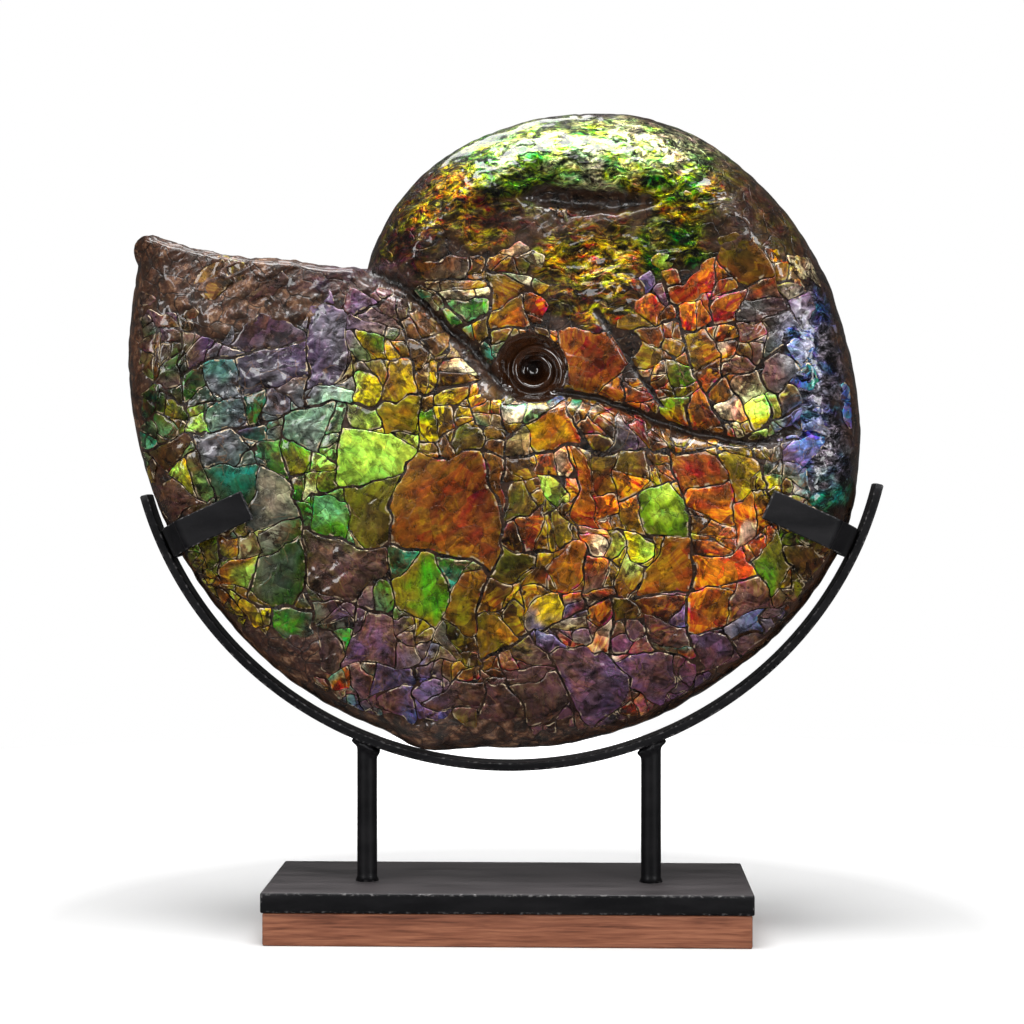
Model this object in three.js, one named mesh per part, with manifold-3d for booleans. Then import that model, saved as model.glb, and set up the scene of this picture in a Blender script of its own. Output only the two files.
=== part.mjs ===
// A large coiled ammonite with an ammolite skin, standing in a welded steel cradle on a plinth.
// Millimetres, +Z up. The origin is the middle of the plinth's underside, and the shell's
// decorated flank faces -Y. The shell coils in a plane parallel to XZ.

import * as THREE from 'three';
import { mergeVertices } from 'three/addons/utils/BufferGeometryUtils.js';
import Module from 'manifold-3d';

const wasm = await Module();
wasm.setup();

// ---- Driving dimensions ----

const plinth = { width: 302.4, depth: 114.6, height: 20.5, edge: 1.2 };
const plate = { width: 304.8, depth: 117, thickness: 12.7, edge: 1 };
const post = { diameter: 12.7, halfSpacing: 90.3, sides: 20, weldRadius: 3.6, welds: 6 };
const bar = { thickness: 5.4, depth: 19, edge: 0.7, steps: 28 };
const cradle = {
  halfWidth: 242.2, // outer ellipse
  halfHeight: 234.3,
  centreZ: 338.5,
  leftEnd: 195, // degrees on the ellipse, 270 is the lowest point
  rightEnd: 346.8,
};
const strip = { width: 19, thickness: 2.8, tab: 47, splay: 15, bend: 5, edge: 0.4 };
const clawAngles = { left: 203.6, right: 336.6 };

const midY = -12; // the plane of the shell's coil, the bar and the posts
const gap = 0.3; // between curved pieces that touch
const plateTop = plinth.height + plate.thickness;

// The shell's outer edge: its distance from the umbilicus every 30 degrees, clockwise from the
// notch where the open end meets the older whorl.
const umbilicus = new THREE.Vector2(14.6, 362.4);
const notchAngle = 150;
const turnStep = 30;
const edgeRadii = [120.7, 138, 153.5, 173.5, 186.7, 202.6, 227, 235, 244.5, 253, 254.4, 257];
const lastTurn = { angle: 344, radius: 258.6 };
const heel = { angle: 255.5, height: 6.3, width: 4.5 }; // the low bump that stands on the bar
const lipCorner = [[-233.5, 434], [-227, 440], [-220, 442]];
const lipEdge = [[-196, 435.5], [-165, 429.5], [-133, 427], [-110, 423.5]];

// Half the shell's thickness on its different parts.
const flank = { body: 51, older: 42, ridge: 50, rim: 39 };
const stepWidth = 12; // of the slope from the older whorl up to the body whorl
const ridge = { inset: 36, width: 20 }; // the thick venter across the top
const venter = { width: 36, lipWidth: 8 }; // how far in the rounding of the edges reaches
const waves = { height: 1.5, length: 13 };

// The seam: the body whorl's inner edge, from the notch, under the umbilicus, to the right.
const seamPoints = [
  [-84, 418], [-57, 402], [-38, 383], [-19, 367], [-6, 349], [13, 340],
  [38, 342], [58, 338], [89, 327], [121, 316], [159, 312], [180, 321],
];
const seamFade = { start: 60, end: 185 }; // the step dies away between these x values

// Grooves and hollows cut into the flanks.
const seamGroove = { radius: 4.2, sink: 1.2 };
const topGroove = {
  radius: 9,
  sink: 2.5,
  points: [[-34, 446], [-8, 458], [30, 464], [68, 462], [105, 455], [140, 458]],
};
const wedgeGroove = { radius: 2.6, sink: 0.8, points: [[55, 392], [68, 374], [80, 354], [96, 333]] };
const eye = { x: 9, z: 357, length: 29, height: 15, depth: 21, turn: -28 };
const coil = { turns: 1.75, outer: 11, inner: 3, tube: 2.3, steps: 26 };
const dish = { depth: 9, inset: 9 }; // the sunken fill of the open end

// How closely the shell is meshed.
const mesh = {
  pole: [-50, 326],
  firstRing: 0.992,
  frontPitch: 10.2,
  backPitch: 15,
  frontRings: 20,
  backRings: 12,
};

// ---- Finishes ----

const finishes = {
  ammolite: { color: 0x6b4a2c, roughness: 0.22, metalness: 0.15 },
  blackSteel: { color: 0x17181b, roughness: 0.5, metalness: 0.3 },
  wood: { color: 0x8a5238, roughness: 0.6, metalness: 0 },
};

const group = new THREE.Group();

function addPiece(name, geometry, finish) {
  const piece = new THREE.Mesh(geometry, new THREE.MeshStandardMaterial(finishes[finish]));
  piece.name = name;
  group.add(piece);
  return piece;
}

// ---- Solids: to and from manifold-3d ----

function toSolid(geometry) {
  const bare = geometry.clone();
  bare.deleteAttribute('normal');
  bare.deleteAttribute('uv');
  const merged = mergeVertices(bare, 1e-4);
  return new wasm.Manifold(new wasm.Mesh({
    numProp: 3,
    vertProperties: new Float32Array(merged.attributes.position.array),
    triVerts: new Uint32Array(merged.index.array),
  }));
}

function toGeometry(solid) {
  const { vertProperties, triVerts } = solid.getMesh();
  const geometry = new THREE.BufferGeometry();
  geometry.setAttribute('position', new THREE.BufferAttribute(vertProperties, 3));
  geometry.setIndex(new THREE.BufferAttribute(triVerts, 1));
  geometry.computeVertexNormals();
  return geometry;
}

// A flat outline drawn in X and Z, made into a bar that runs along Y around the plane y.
function extrudeAlongY(shape, depth, edge, y, steps = 12) {
  const geometry = new THREE.ExtrudeGeometry(shape, {
    depth: depth - 2 * edge,
    bevelEnabled: edge > 0,
    bevelThickness: edge,
    bevelSize: edge,
    bevelOffset: -edge,
    bevelSegments: 1,
    curveSegments: steps,
  });
  geometry.rotateX(Math.PI / 2);
  geometry.translate(0, y + depth / 2 - edge, 0);
  return geometry;
}

function tubeAlong(points, radius, sides, steps) {
  const section = new THREE.Shape();
  section.absarc(0, 0, radius, 0, 2 * Math.PI);
  return new THREE.ExtrudeGeometry(section, {
    extrudePath: new THREE.CatmullRomCurve3(points),
    steps,
    curveSegments: sides / 2,
    bevelEnabled: false,
  });
}

// ---- The shell's outline and thickness ----

const degrees = THREE.MathUtils.degToRad;
const smooth = THREE.MathUtils.smoothstep;

function edgePoint(turn, radius) {
  const angle = degrees(notchAngle - turn);
  return new THREE.Vector2(Math.cos(angle), Math.sin(angle)).multiplyScalar(radius).add(umbilicus);
}

function edgeCurve() {
  const control = edgeRadii.map((radius, i) => new THREE.Vector2(i * turnStep, radius));
  control.push(new THREE.Vector2(lastTurn.angle, lastTurn.radius));
  return new THREE.SplineCurve(control);
}

function spiralPoints(count) {
  return edgeCurve().getPoints(count).map(({ x: turn, y: radius }) => {
    const bump = heel.height * Math.exp(-(((turn - heel.angle) / heel.width) ** 2));
    return edgePoint(turn, radius + bump);
  });
}

const toVectors = (pairs) => pairs.map(([x, z]) => new THREE.Vector2(x, z));
const spiral = spiralPoints(180);
const olderRim = spiral.slice(0, 42);
const bodyRim = spiral.slice(41);
const lip = new THREE.SplineCurve([
  ...toVectors([lipCorner.at(-1)]),
  ...toVectors(lipEdge),
  spiral[0],
]).getPoints(30);
const corner = new THREE.SplineCurve([
  spiral.at(-1),
  ...toVectors(lipCorner),
]).getPoints(8);

const outline = new THREE.Path([...spiral, ...corner.slice(1), ...lip.slice(1)]);
const seam = new THREE.SplineCurve(toVectors(seamPoints)).getPoints(60);

// The distance from a point to a run of short straight pieces, and the side it lies on.
function nearest(point, run) {
  const best = { distance: Infinity, side: 0 };
  const along = new THREE.Vector2();
  const across = new THREE.Vector2();
  for (let i = 1; i < run.length; i += 1) {
    along.subVectors(run[i], run[i - 1]);
    across.subVectors(point, run[i - 1]);
    const part = THREE.MathUtils.clamp(across.dot(along) / along.lengthSq(), 0, 1);
    const side = Math.sign(along.cross(across));
    const distance = across.addScaledVector(along, -part).length();
    if (distance < best.distance) {
      best.distance = distance;
      best.side = side;
    }
  }
  return best;
}

const roundOff = (share) => Math.sqrt(1 - (1 - Math.min(share, 1)) ** 2);

// Half the thickness of the shell at a point of its plane. The body whorl grips the older one,
// so the older whorl's rounded edge ends at the seam.
function halfThickness(point) {
  const toOlderRim = nearest(point, olderRim).distance;
  const toBodyRim = nearest(point, bodyRim).distance;
  const toLip = nearest(point, lip).distance;
  const toSeam = nearest(point, seam);
  const { lerp } = THREE.MathUtils;

  const onBody = toSeam.side < 0 ? smooth(toSeam.distance, 0, stepWidth) : 0;
  const merged = smooth(point.x, seamFade.start, seamFade.end);
  const level = lerp(onBody, 0.5, merged);
  const inward = 1 - smooth(point.distanceTo(umbilicus), 50, 235) ** 2;
  let thickness = lerp(flank.rim, lerp(flank.older, flank.body, level), inward);

  const toVenter = Math.min(toOlderRim, toBodyRim);
  const aboveEye = smooth(point.y, umbilicus.y + 20, umbilicus.y + 75) * (1 - onBody);
  const onRidge = Math.exp(-(((toVenter - ridge.inset) / ridge.width) ** 2));
  thickness += (flank.ridge - flank.older) * onRidge * aboveEye;
  thickness += waves.height * Math.sin(point.x / waves.length) * Math.sin(point.y / waves.length);

  const roundOlder = lerp(roundOff(toOlderRim / venter.width), 1, onBody);
  const roundBody = roundOff(toBodyRim / venter.width);
  const roundLip = roundOff(toLip / venter.lipWidth) ** 0.5;
  return thickness * Math.min(roundOlder, roundBody) * roundLip;
}

// ---- The shell as a closed mesh: rings of points from the edge to a pole on each flank ----

function ringFractions(count) {
  const even = Array.from({ length: count - 1 }, (_, i) => {
    const share = 1 - (i + 1) / count;
    return 0.55 * share + 0.45 * Math.sin(share * Math.PI / 2);
  });
  return [mesh.firstRing, ...even];
}

function buildShell() {
  const positions = [];
  const faces = [];
  const pole = new THREE.Vector2(...mesh.pole);
  const length = outline.getLength();

  function addRing(fraction, count, side) {
    const first = positions.length / 3;
    for (const point of outline.getSpacedPoints(count).slice(0, count)) {
      point.lerp(pole, 1 - fraction);
      const half = fraction < 1 ? halfThickness(point) : 0;
      positions.push(point.x, midY + side * half, point.y);
    }
    return { first, count };
  }

  // Two rings with different numbers of points are joined by always stepping along the one
  // that is behind.
  function stitch(outer, inner, side) {
    let i = 0;
    let j = 0;
    while (i < outer.count || j < inner.count) {
      const a = outer.first + (i % outer.count);
      const b = inner.first + (j % inner.count);
      const stepOuter = (i + 0.5) / outer.count <= (j + 0.5) / inner.count;
      if (stepOuter) {
        i += 1;
      } else {
        j += 1;
      }
      const c = stepOuter ? outer.first + (i % outer.count) : inner.first + (j % inner.count);
      faces.push(...(side < 0 ? [a, b, c] : [a, c, b]));
    }
  }

  function closeAtPole(ring, side) {
    const centre = positions.length / 3;
    positions.push(pole.x, midY + side * halfThickness(pole), pole.y);
    for (let i = 0; i < ring.count; i += 1) {
      const a = ring.first + i;
      const b = ring.first + ((i + 1) % ring.count);
      faces.push(...(side < 0 ? [a, centre, b] : [a, b, centre]));
    }
  }

  const rim = addRing(1, Math.round(length / mesh.frontPitch), -1);
  const sides = [
    { side: -1, pitch: mesh.frontPitch, rings: mesh.frontRings },
    { side: 1, pitch: mesh.backPitch, rings: mesh.backRings },
  ];
  for (const { side, pitch, rings } of sides) {
    let last = rim;
    for (const fraction of ringFractions(rings)) {
      const ring = addRing(fraction, Math.max(6, Math.round(fraction * length / pitch)), side);
      stitch(last, ring, side);
      last = ring;
    }
    closeAtPole(last, side);
  }

  const geometry = new THREE.BufferGeometry();
  geometry.setAttribute('position', new THREE.Float32BufferAttribute(positions, 3));
  geometry.setIndex(faces);
  return toSolid(geometry);
}

// ---- What is cut into the shell and what stands in its umbilicus ----

// A round-bottomed groove that follows the flank and rises out of it at both ends.
function groove(pairs, { radius, sink }, side) {
  const flat = new THREE.SplineCurve(toVectors(pairs)).getPoints(12);
  const points = flat.map((point, i) => {
    const nearEnd = Math.min(i, 12 - i) / 3;
    const depth = THREE.MathUtils.lerp(-radius, sink, smooth(nearEnd, 0, 1));
    return new THREE.Vector3(point.x, midY + side * (halfThickness(point) - depth), point.y);
  });
  return toSolid(tubeAlong(points, radius, 6, 20));
}

function hollow(side) {
  const ball = new THREE.SphereGeometry(1, 18, 8);
  ball.rotateX(Math.PI / 2);
  ball.scale(eye.length, eye.depth, eye.height);
  ball.rotateY(degrees(-eye.turn));
  const centre = new THREE.Vector2(eye.x, eye.z);
  ball.translate(eye.x, midY + side * (halfThickness(centre) + 1), eye.z);
  return toSolid(ball);
}

// The innermost whorls, a tube that winds down into the hollow.
function innerCoil(side) {
  const floor = halfThickness(new THREE.Vector2(eye.x, eye.z)) + 1 - eye.depth;
  const points = Array.from({ length: coil.steps + 1 }, (_, i) => {
    const share = i / coil.steps;
    const radius = THREE.MathUtils.lerp(coil.outer, coil.inner, share);
    const angle = -share * coil.turns * 2 * Math.PI + 1;
    const x = umbilicus.x - 2 + radius * Math.cos(angle);
    const z = umbilicus.y - 3 + radius * Math.sin(angle);
    return new THREE.Vector3(x, midY + side * (floor + 4 - 3 * share), z);
  });
  return toSolid(tubeAlong(points, coil.tube, 6, coil.steps));
}

// The fill of the open end has sunk a little between the two walls of the shell.
function lipDish() {
  const start = new THREE.Vector2(...lipEdge[0]);
  const end = lip.at(-1);
  const middle = start.clone().lerp(end, 0.46);
  const ball = new THREE.SphereGeometry(1, 16, 8);
  ball.scale(start.distanceTo(end) / 2 - 6, flank.rim - dish.inset, dish.depth);
  ball.rotateY(-Math.atan2(end.y - start.y, end.x - start.x));
  ball.translate(middle.x, midY, middle.y + 1);
  return toSolid(ball);
}

function ammonite() {
  let solid = buildShell();
  solid = solid.subtract(lipDish());
  for (const side of [-1, 1]) {
    solid = solid.subtract(groove(seamPoints, seamGroove, side));
    solid = solid.subtract(hollow(side));
    solid = solid.add(innerCoil(side));
  }
  for (const cut of [topGroove, wedgeGroove]) {
    solid = solid.subtract(groove(cut.points, cut, -1));
  }
  return toGeometry(solid);
}

// ---- The stand ----

// A point on the bar's outer edge, moved inwards by a distance.
function cradlePoint(angle, inset = 0) {
  const { halfWidth, halfHeight, centreZ } = cradle;
  const point = new THREE.Vector2(
    halfWidth * Math.cos(degrees(angle)),
    halfHeight * Math.sin(degrees(angle)),
  );
  const normal = cradleNormal(angle);
  return point.addScaledVector(normal, inset).add(new THREE.Vector2(0, centreZ));
}

// The inward direction across the bar.
function cradleNormal(angle) {
  return new THREE.Vector2(
    -Math.cos(degrees(angle)) / cradle.halfWidth,
    -Math.sin(degrees(angle)) / cradle.halfHeight,
  ).normalize();
}

function cradleBar() {
  const turn = (i) => THREE.MathUtils.lerp(cradle.leftEnd, cradle.rightEnd, i / bar.steps);
  const steps = Array.from({ length: bar.steps + 1 }, (_, i) => turn(i));
  const outer = steps.map((angle) => cradlePoint(angle));
  const inner = steps.map((angle) => cradlePoint(angle, bar.thickness)).reverse();
  return extrudeAlongY(new THREE.Shape([...outer, ...inner]), bar.depth, bar.edge, midY);
}

// The bar made longer and thicker by the gap, to cut what is welded to it.
function cradleKeepOut() {
  const { depth, thickness, steps } = bar;
  const turn = (i) => THREE.MathUtils.lerp(cradle.leftEnd, cradle.rightEnd, i / steps);
  const angles = Array.from({ length: steps + 1 }, (_, i) => turn(i));
  const outer = angles.map((angle) => cradlePoint(angle, -gap));
  const inner = angles.map((angle) => cradlePoint(angle, thickness + gap)).reverse();
  const shape = new THREE.Shape([...outer, ...inner]);
  return toSolid(extrudeAlongY(shape, depth + 2 * gap, 0, midY));
}

// A strip bent round the shell's edge, drawn in the plane across the bar: u runs inwards from
// the bar and v runs along Y.
function claw(angle) {
  const base = cradlePoint(angle, bar.thickness + 2.4 * gap);
  const normal = cradleNormal(angle);
  const reach = tabHeight(base, normal);
  const { thickness, splay, tab, bend, width, edge } = strip;
  const knee = new THREE.Vector2(0.3 * splay, 0.55 * reach);
  const lane = (v) => [
    [0, 0],
    [knee.x, v * knee.y],
    [splay, v * (reach + thickness - bend)],
    [splay + bend, v * (reach + thickness)],
    [splay + tab, v * (reach + thickness)],
    [splay + tab, v * reach],
    [splay + bend + 1, v * reach],
    [splay + thickness, v * (reach - bend)],
    [knee.x + thickness, v * (knee.y - 1)],
    [thickness, v * 8],
  ];
  const front = lane(-1);
  const back = lane(1).reverse();
  const shape = new THREE.Shape(toVectors([...front, ...back.slice(0, -1)]));
  const geometry = new THREE.ExtrudeGeometry(shape, {
    depth: width - 2 * edge,
    bevelEnabled: true,
    bevelThickness: edge,
    bevelSize: edge,
    bevelOffset: -edge,
    bevelSegments: 1,
    curveSegments: 3,
  });
  geometry.translate(0, 0, edge - width / 2);
  const across = new THREE.Vector3(normal.x, 0, normal.y);
  const forward = new THREE.Vector3(0, 1, 0);
  const along = new THREE.Vector3().crossVectors(across, forward);
  geometry.applyMatrix4(new THREE.Matrix4().makeBasis(across, forward, along));
  geometry.translate(base.x, midY, base.y);
  return geometry;
}

// How far from the middle plane the tabs must lie to clear the shell.
function tabHeight(base, normal) {
  const tangent = new THREE.Vector2(-normal.y, normal.x);
  let highest = 0;
  for (let along = strip.splay; along <= strip.splay + strip.tab + 4; along += 3) {
    for (const across of [-14, -7, 0, 7, 14]) {
      const point = base.clone().addScaledVector(normal, along).addScaledVector(tangent, across);
      highest = Math.max(highest, halfThickness(point));
    }
  }
  return highest + gap;
}

// A round post with the lumps of its weld under the bar, cut to the bar's curve.
function postWithWeld(side) {
  const centreX = side * post.halfSpacing;
  const topZ = cradle.centreZ;
  const radius = post.diameter / 2;
  const rod = new THREE.CylinderGeometry(radius, radius, topZ - plateTop, post.sides);
  rod.rotateX(Math.PI / 2);
  rod.translate(centreX, midY, (topZ + plateTop) / 2);
  let solid = toSolid(rod);
  for (let i = 0; i < post.welds; i += 1) {
    const angle = (i / post.welds) * 2 * Math.PI + side;
    const x = centreX + (radius + 1) * Math.cos(angle);
    const under = cradle.halfHeight * Math.sqrt(1 - (x / cradle.halfWidth) ** 2);
    const bead = new THREE.SphereGeometry(post.weldRadius * (1 + 0.2 * (i % 3)), 7, 5);
    bead.translate(x, midY + (radius + 1) * Math.sin(angle), cradle.centreZ - under);
    solid = solid.add(toSolid(bead));
  }
  const roof = new THREE.BoxGeometry(4 * post.diameter, 4 * post.diameter, topZ);
  const underside = cradlePoint(270 + side * 22, bar.thickness / 2).y;
  roof.translate(centreX, midY, underside + topZ / 2);
  solid = solid.subtract(cradleKeepOut());
  solid = solid.subtract(toSolid(roof));
  return toGeometry(solid);
}

function slab({ width, depth, edge }, height) {
  const shape = new THREE.Shape();
  shape.moveTo(-width / 2, -depth / 2);
  shape.lineTo(width / 2, -depth / 2);
  shape.lineTo(width / 2, depth / 2);
  shape.lineTo(-width / 2, depth / 2);
  const geometry = new THREE.ExtrudeGeometry(shape, {
    depth: height - 2 * edge,
    bevelThickness: edge,
    bevelSize: edge,
    bevelOffset: -edge,
    bevelSegments: 2,
  });
  geometry.translate(0, 0, edge);
  return geometry;
}

// ---- The object ----

addPiece('ammonite', ammonite(), 'ammolite');
addPiece('cradle_arc', cradleBar(), 'blackSteel');
addPiece('claw_left', claw(clawAngles.left), 'blackSteel');
addPiece('claw_right', claw(clawAngles.right), 'blackSteel');
addPiece('post_left', postWithWeld(-1), 'blackSteel');
addPiece('post_right', postWithWeld(1), 'blackSteel');
addPiece('base_plate', slab(plate, plate.thickness), 'blackSteel').position.z = plinth.height;
addPiece('wood_plinth', slab(plinth, plinth.height), 'wood');

export default group;
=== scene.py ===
import math

import bmesh
import bpy
import numpy as np
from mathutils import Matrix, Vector


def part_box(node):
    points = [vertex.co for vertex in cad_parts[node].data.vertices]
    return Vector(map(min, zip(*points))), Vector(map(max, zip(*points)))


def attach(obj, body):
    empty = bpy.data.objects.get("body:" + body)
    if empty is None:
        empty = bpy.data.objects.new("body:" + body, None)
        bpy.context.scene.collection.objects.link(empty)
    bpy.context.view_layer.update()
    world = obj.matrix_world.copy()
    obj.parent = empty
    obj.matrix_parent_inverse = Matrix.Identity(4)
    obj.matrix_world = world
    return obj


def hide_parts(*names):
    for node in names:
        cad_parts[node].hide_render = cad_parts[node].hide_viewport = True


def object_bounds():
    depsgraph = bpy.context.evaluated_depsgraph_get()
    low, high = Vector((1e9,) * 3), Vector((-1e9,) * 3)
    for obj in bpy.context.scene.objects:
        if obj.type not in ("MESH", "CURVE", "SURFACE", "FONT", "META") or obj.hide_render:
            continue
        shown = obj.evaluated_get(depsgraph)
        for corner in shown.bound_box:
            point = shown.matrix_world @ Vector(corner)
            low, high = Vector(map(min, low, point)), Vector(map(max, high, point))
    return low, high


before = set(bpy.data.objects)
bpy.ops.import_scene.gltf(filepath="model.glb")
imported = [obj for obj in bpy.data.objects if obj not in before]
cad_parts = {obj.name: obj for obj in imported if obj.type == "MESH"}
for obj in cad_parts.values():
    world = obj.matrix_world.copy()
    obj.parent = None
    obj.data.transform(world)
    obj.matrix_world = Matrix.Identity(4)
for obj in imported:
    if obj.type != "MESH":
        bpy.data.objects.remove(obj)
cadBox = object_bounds()
mm = 0.001  # in metres
draw = np.random.default_rng(11)  # all chance in this file, the same on each run

# the colours of the skin as a maker would mix them: red, green and blue as seen on a screen
palette = {
    "lime": (0.70, 0.84, 0.43),
    "green": (0.24, 0.50, 0.12),
    "forest": (0.17, 0.27, 0.09),
    "mint": (0.46, 0.68, 0.48),
    "teal": (0.10, 0.50, 0.40),
    "blue": (0.25, 0.34, 0.55),
    "violet": (0.36, 0.26, 0.40),
    "plum": (0.36, 0.22, 0.22),
    "lavender": (0.47, 0.45, 0.49),
    "slate": (0.27, 0.29, 0.28),
    "pearl": (0.86, 0.80, 0.68),
    "pink": (0.82, 0.42, 0.32),
    "ruby": (0.60, 0.12, 0.07),
    "ember": (0.78, 0.32, 0.09),
    "rust": (0.50, 0.23, 0.11),
    "maroon": (0.42, 0.19, 0.13),
    "amber": (0.58, 0.31, 0.08),
    "gold": (0.78, 0.62, 0.14),
    "olive": (0.40, 0.35, 0.08),
    "bark": (0.27, 0.17, 0.09),
    "tan": (0.50, 0.37, 0.26),
    "crust": (0.31, 0.21, 0.15),
    "night": (0.08, 0.06, 0.05),
}


# a colour as light, from a colour as seen
def linear(colour):
    return np.power(np.asarray(colour, float), 2.2)


# small tools: curves, fields and meshes
def smooth(value, low, high):
    share = np.clip((value - low) / (high - low), 0, 1)
    return share * share * (3 - 2 * share)


def blend(a, b, share):
    return a + (b - a) * share


# 1 in the middle of a groove or bead, fading out over about its width
def bell(distance, width):
    return np.exp(-((distance / width) ** 2))


def unit(ways):
    return ways / np.linalg.norm(ways, axis=1)[:, None]


# a smooth curve through given points, count steps long
def splineThrough(points, count):
    points = np.asarray(points, float)
    last = len(points) - 1
    place = np.linspace(0, last, count + 1)
    whole = np.minimum(place.astype(int), last)
    t = (place - whole)[:, None]
    before = points[np.maximum(whole - 1, 0)]
    here = points[whole]
    after = points[np.minimum(whole + 1, last)]
    beyond = points[np.minimum(whole + 2, last)]
    startSlope = (after - before) / 2
    endSlope = (beyond - here) / 2
    cubic = (2 * here - 2 * after + startSlope + endSlope) * t**3
    square = (-3 * here + 3 * after - 2 * startSlope - endSlope) * t**2
    return cubic + square + startSlope * t + here


# points evenly spaced along a run of straight pieces
def evenly(run, count, closed=False):
    steps = np.hypot(*np.diff(run, axis=0).T)
    along = np.concatenate([[0], np.cumsum(steps)])
    wanted = np.linspace(0, along[-1], count, endpoint=not closed)
    return np.column_stack([np.interp(wanted, along, run[:, i]) for i in range(2)])


# how far points lie from a run of straight pieces, and on which side of it
def fromRun(x, z, run):
    best = np.full(x.shape, 1e9)
    side = np.zeros(x.shape)
    for start, end in zip(run[:-1], run[1:]):
        dx, dz = end - start
        px = x - start[0]
        pz = z - start[1]
        part = np.clip((px * dx + pz * dz) / (dx * dx + dz * dz), 0, 1)
        distance = np.hypot(px - part * dx, pz - part * dz)
        nearer = distance < best
        best = np.where(nearer, distance, best)
        side = np.where(nearer, np.sign(dx * pz - dz * px), side)
    return best, side


# smooth random waves between -1 and 1, with bumps about as wide as size
def ripple(x, z, size, seed):
    x = x / size
    z = z / size
    cellX = np.floor(x)
    cellZ = np.floor(z)

    def corner(i, j):  # seems random; its factors only scatter the cells
        value = np.sin((cellX + i) * 127.1 + (cellZ + j) * 311.7 + seed * 74.7) * 43758.5453
        return value - np.floor(value)

    u = smooth(x - cellX, 0, 1)
    v = smooth(z - cellZ, 0, 1)
    low = blend(corner(0, 0), corner(1, 0), u)
    high = blend(corner(0, 1), corner(1, 1), u)
    return 2 * blend(low, high, v) - 1


def crease(x, z, size, seed):
    return 1 - 2 * np.abs(ripple(x, z, size, seed))


# a mesh becomes a piece that carries values and colours for its points
def addPiece(name, mesh, floats=None, colours=None):
    for key, values in (floats or {}).items():
        layer = mesh.attributes.new(key, "FLOAT", "POINT")
        layer.data.foreach_set("value", np.asarray(values, np.float32))
    for key, values in (colours or {}).items():
        layer = mesh.attributes.new(key, "FLOAT_COLOR", "POINT")
        full = np.column_stack([values, np.ones(len(values))])
        layer.data.foreach_set("color", full.astype(np.float32).ravel())
    mesh.polygons.foreach_set("use_smooth", [True] * len(mesh.polygons))
    mesh.validate()
    piece = bpy.data.objects.new(name, mesh)
    bpy.context.scene.collection.objects.link(piece)
    return piece


def makePiece(name, places, faces, floats=None, colours=None):
    mesh = bpy.data.meshes.new(name)
    mesh.from_pydata((np.asarray(places) * mm).tolist(), [], faces)
    return addPiece(name, mesh, floats, colours)


# the quads between rings of count points that follow each other
def bandFaces(first, count, rings):
    faces = []
    for row in range(rings - 1):
        a = first + row * count
        for k in range(count):
            n = (k + 1) % count
            faces.append((a + k, a + n, a + count + n, a + count + k))
    return faces


# the shell: its outline and its relief
shell = {
    "midY": -12,  # the plane of the coil
    "umbilicus": (14.6, 362.4),
    "notchAngle": 150,
    "edgeRadii": [120.7, 138, 153.5, 173.5, 186.7, 202.6, 227, 235, 244.5, 253, 254.4, 257],
    "lastTurn": (344, 258.6),
    "heel": {"angle": 255.5, "height": 6.3, "width": 4.5},
    "lipCorner": [(-233.5, 434), (-227, 440), (-220, 442)],
    "lipEdge": [(-196, 435.5), (-165, 429.5), (-133, 427), (-110, 423.5)],
    "seam": [
        (-84, 418), (-57, 402), (-38, 383), (-19, 367), (-6, 349), (13, 340),
        (38, 342), (58, 338), (89, 327), (121, 316), (159, 312), (180, 321),
    ],
    "seamFade": (60, 185),
    "seamEnd": (176, 321),  # where the step ends, and the height that parts the plates past it
    "seamHeight": 0.5,  # the flank past the step: 0 is the older turn's level and 1 the body's
    "fall": (50, 235),  # distances from the umbilicus between which the flank falls to the rim
    "bodyHalf": 51,  # half thicknesses
    "olderHalf": 42,
    "ridgeHalf": 50,
    "rimHalf": 39,
    "stepWidth": 12,
    "ridgeAbove": (20, 75),  # heights over the umbilicus where the ridge begins and is whole
    "ridgeInset": 36,
    "ridgeWidth": 20,
    "venterWidth": 36,
    "lipWidth": 8,
    "waves": (1.5, 13),
    "pole": (-50, 326),
    "olderSteps": 41,  # steps of the spiral along the older turn's edge
}


def shellOutline():
    turns = [(30 * i, radius) for i, radius in enumerate(shell["edgeRadii"])]
    turn, radius = splineThrough([*turns, shell["lastTurn"]], count=180).T
    heel = shell["heel"]
    radius = radius + heel["height"] * bell(turn - heel["angle"], heel["width"])
    angle = np.radians(shell["notchAngle"] - turn)
    centre = np.array(shell["umbilicus"])
    spiral = centre + np.column_stack([np.cos(angle), np.sin(angle)]) * radius[:, None]
    corner = splineThrough([spiral[-1], *shell["lipCorner"]], count=8)
    lip = splineThrough([shell["lipCorner"][-1], *shell["lipEdge"], spiral[0]], count=30)
    return spiral, corner, lip


spiral, corner, lip = shellOutline()
outline = np.vstack([spiral, corner[1:], lip[1:]])
seamRun = splineThrough(shell["seam"], count=60)

# grooves and hollows of the decorated flank
carving = {
    "seamDepth": 6.5,
    "seamWidth": 2.3,
    "seamShallows": (120, 185, 0.6),  # where it grows shallower, and by how much
    "rimFade": (4, 20),  # distances from the rim between which the grooves grow to full depth
    "topGroove": [(-40, 441), (-12, 456), (22, 463), (50, 460), (84, 459), (112, 457), (136, 462)],
    "topLens": (51, 43),  # where the wide part lies, and half its length
    "topDepth": (0.5, 9),
    "topWidth": (1.1, 7.2),
    "wedge": [(55, 392), (68, 374), (80, 354), (96, 333)],
    "wedgeDepth": 3.6,
    "wedgeWidth": 1.2,
    "eye": {"x": 15.5, "z": 357, "length": 20.5, "height": 19, "depth": 17, "pit": 9, "turn": -35},
}
topRun = splineThrough(carving["topGroove"], count=30)
wedgeRun = splineThrough(carving["wedge"], count=12)

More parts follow.
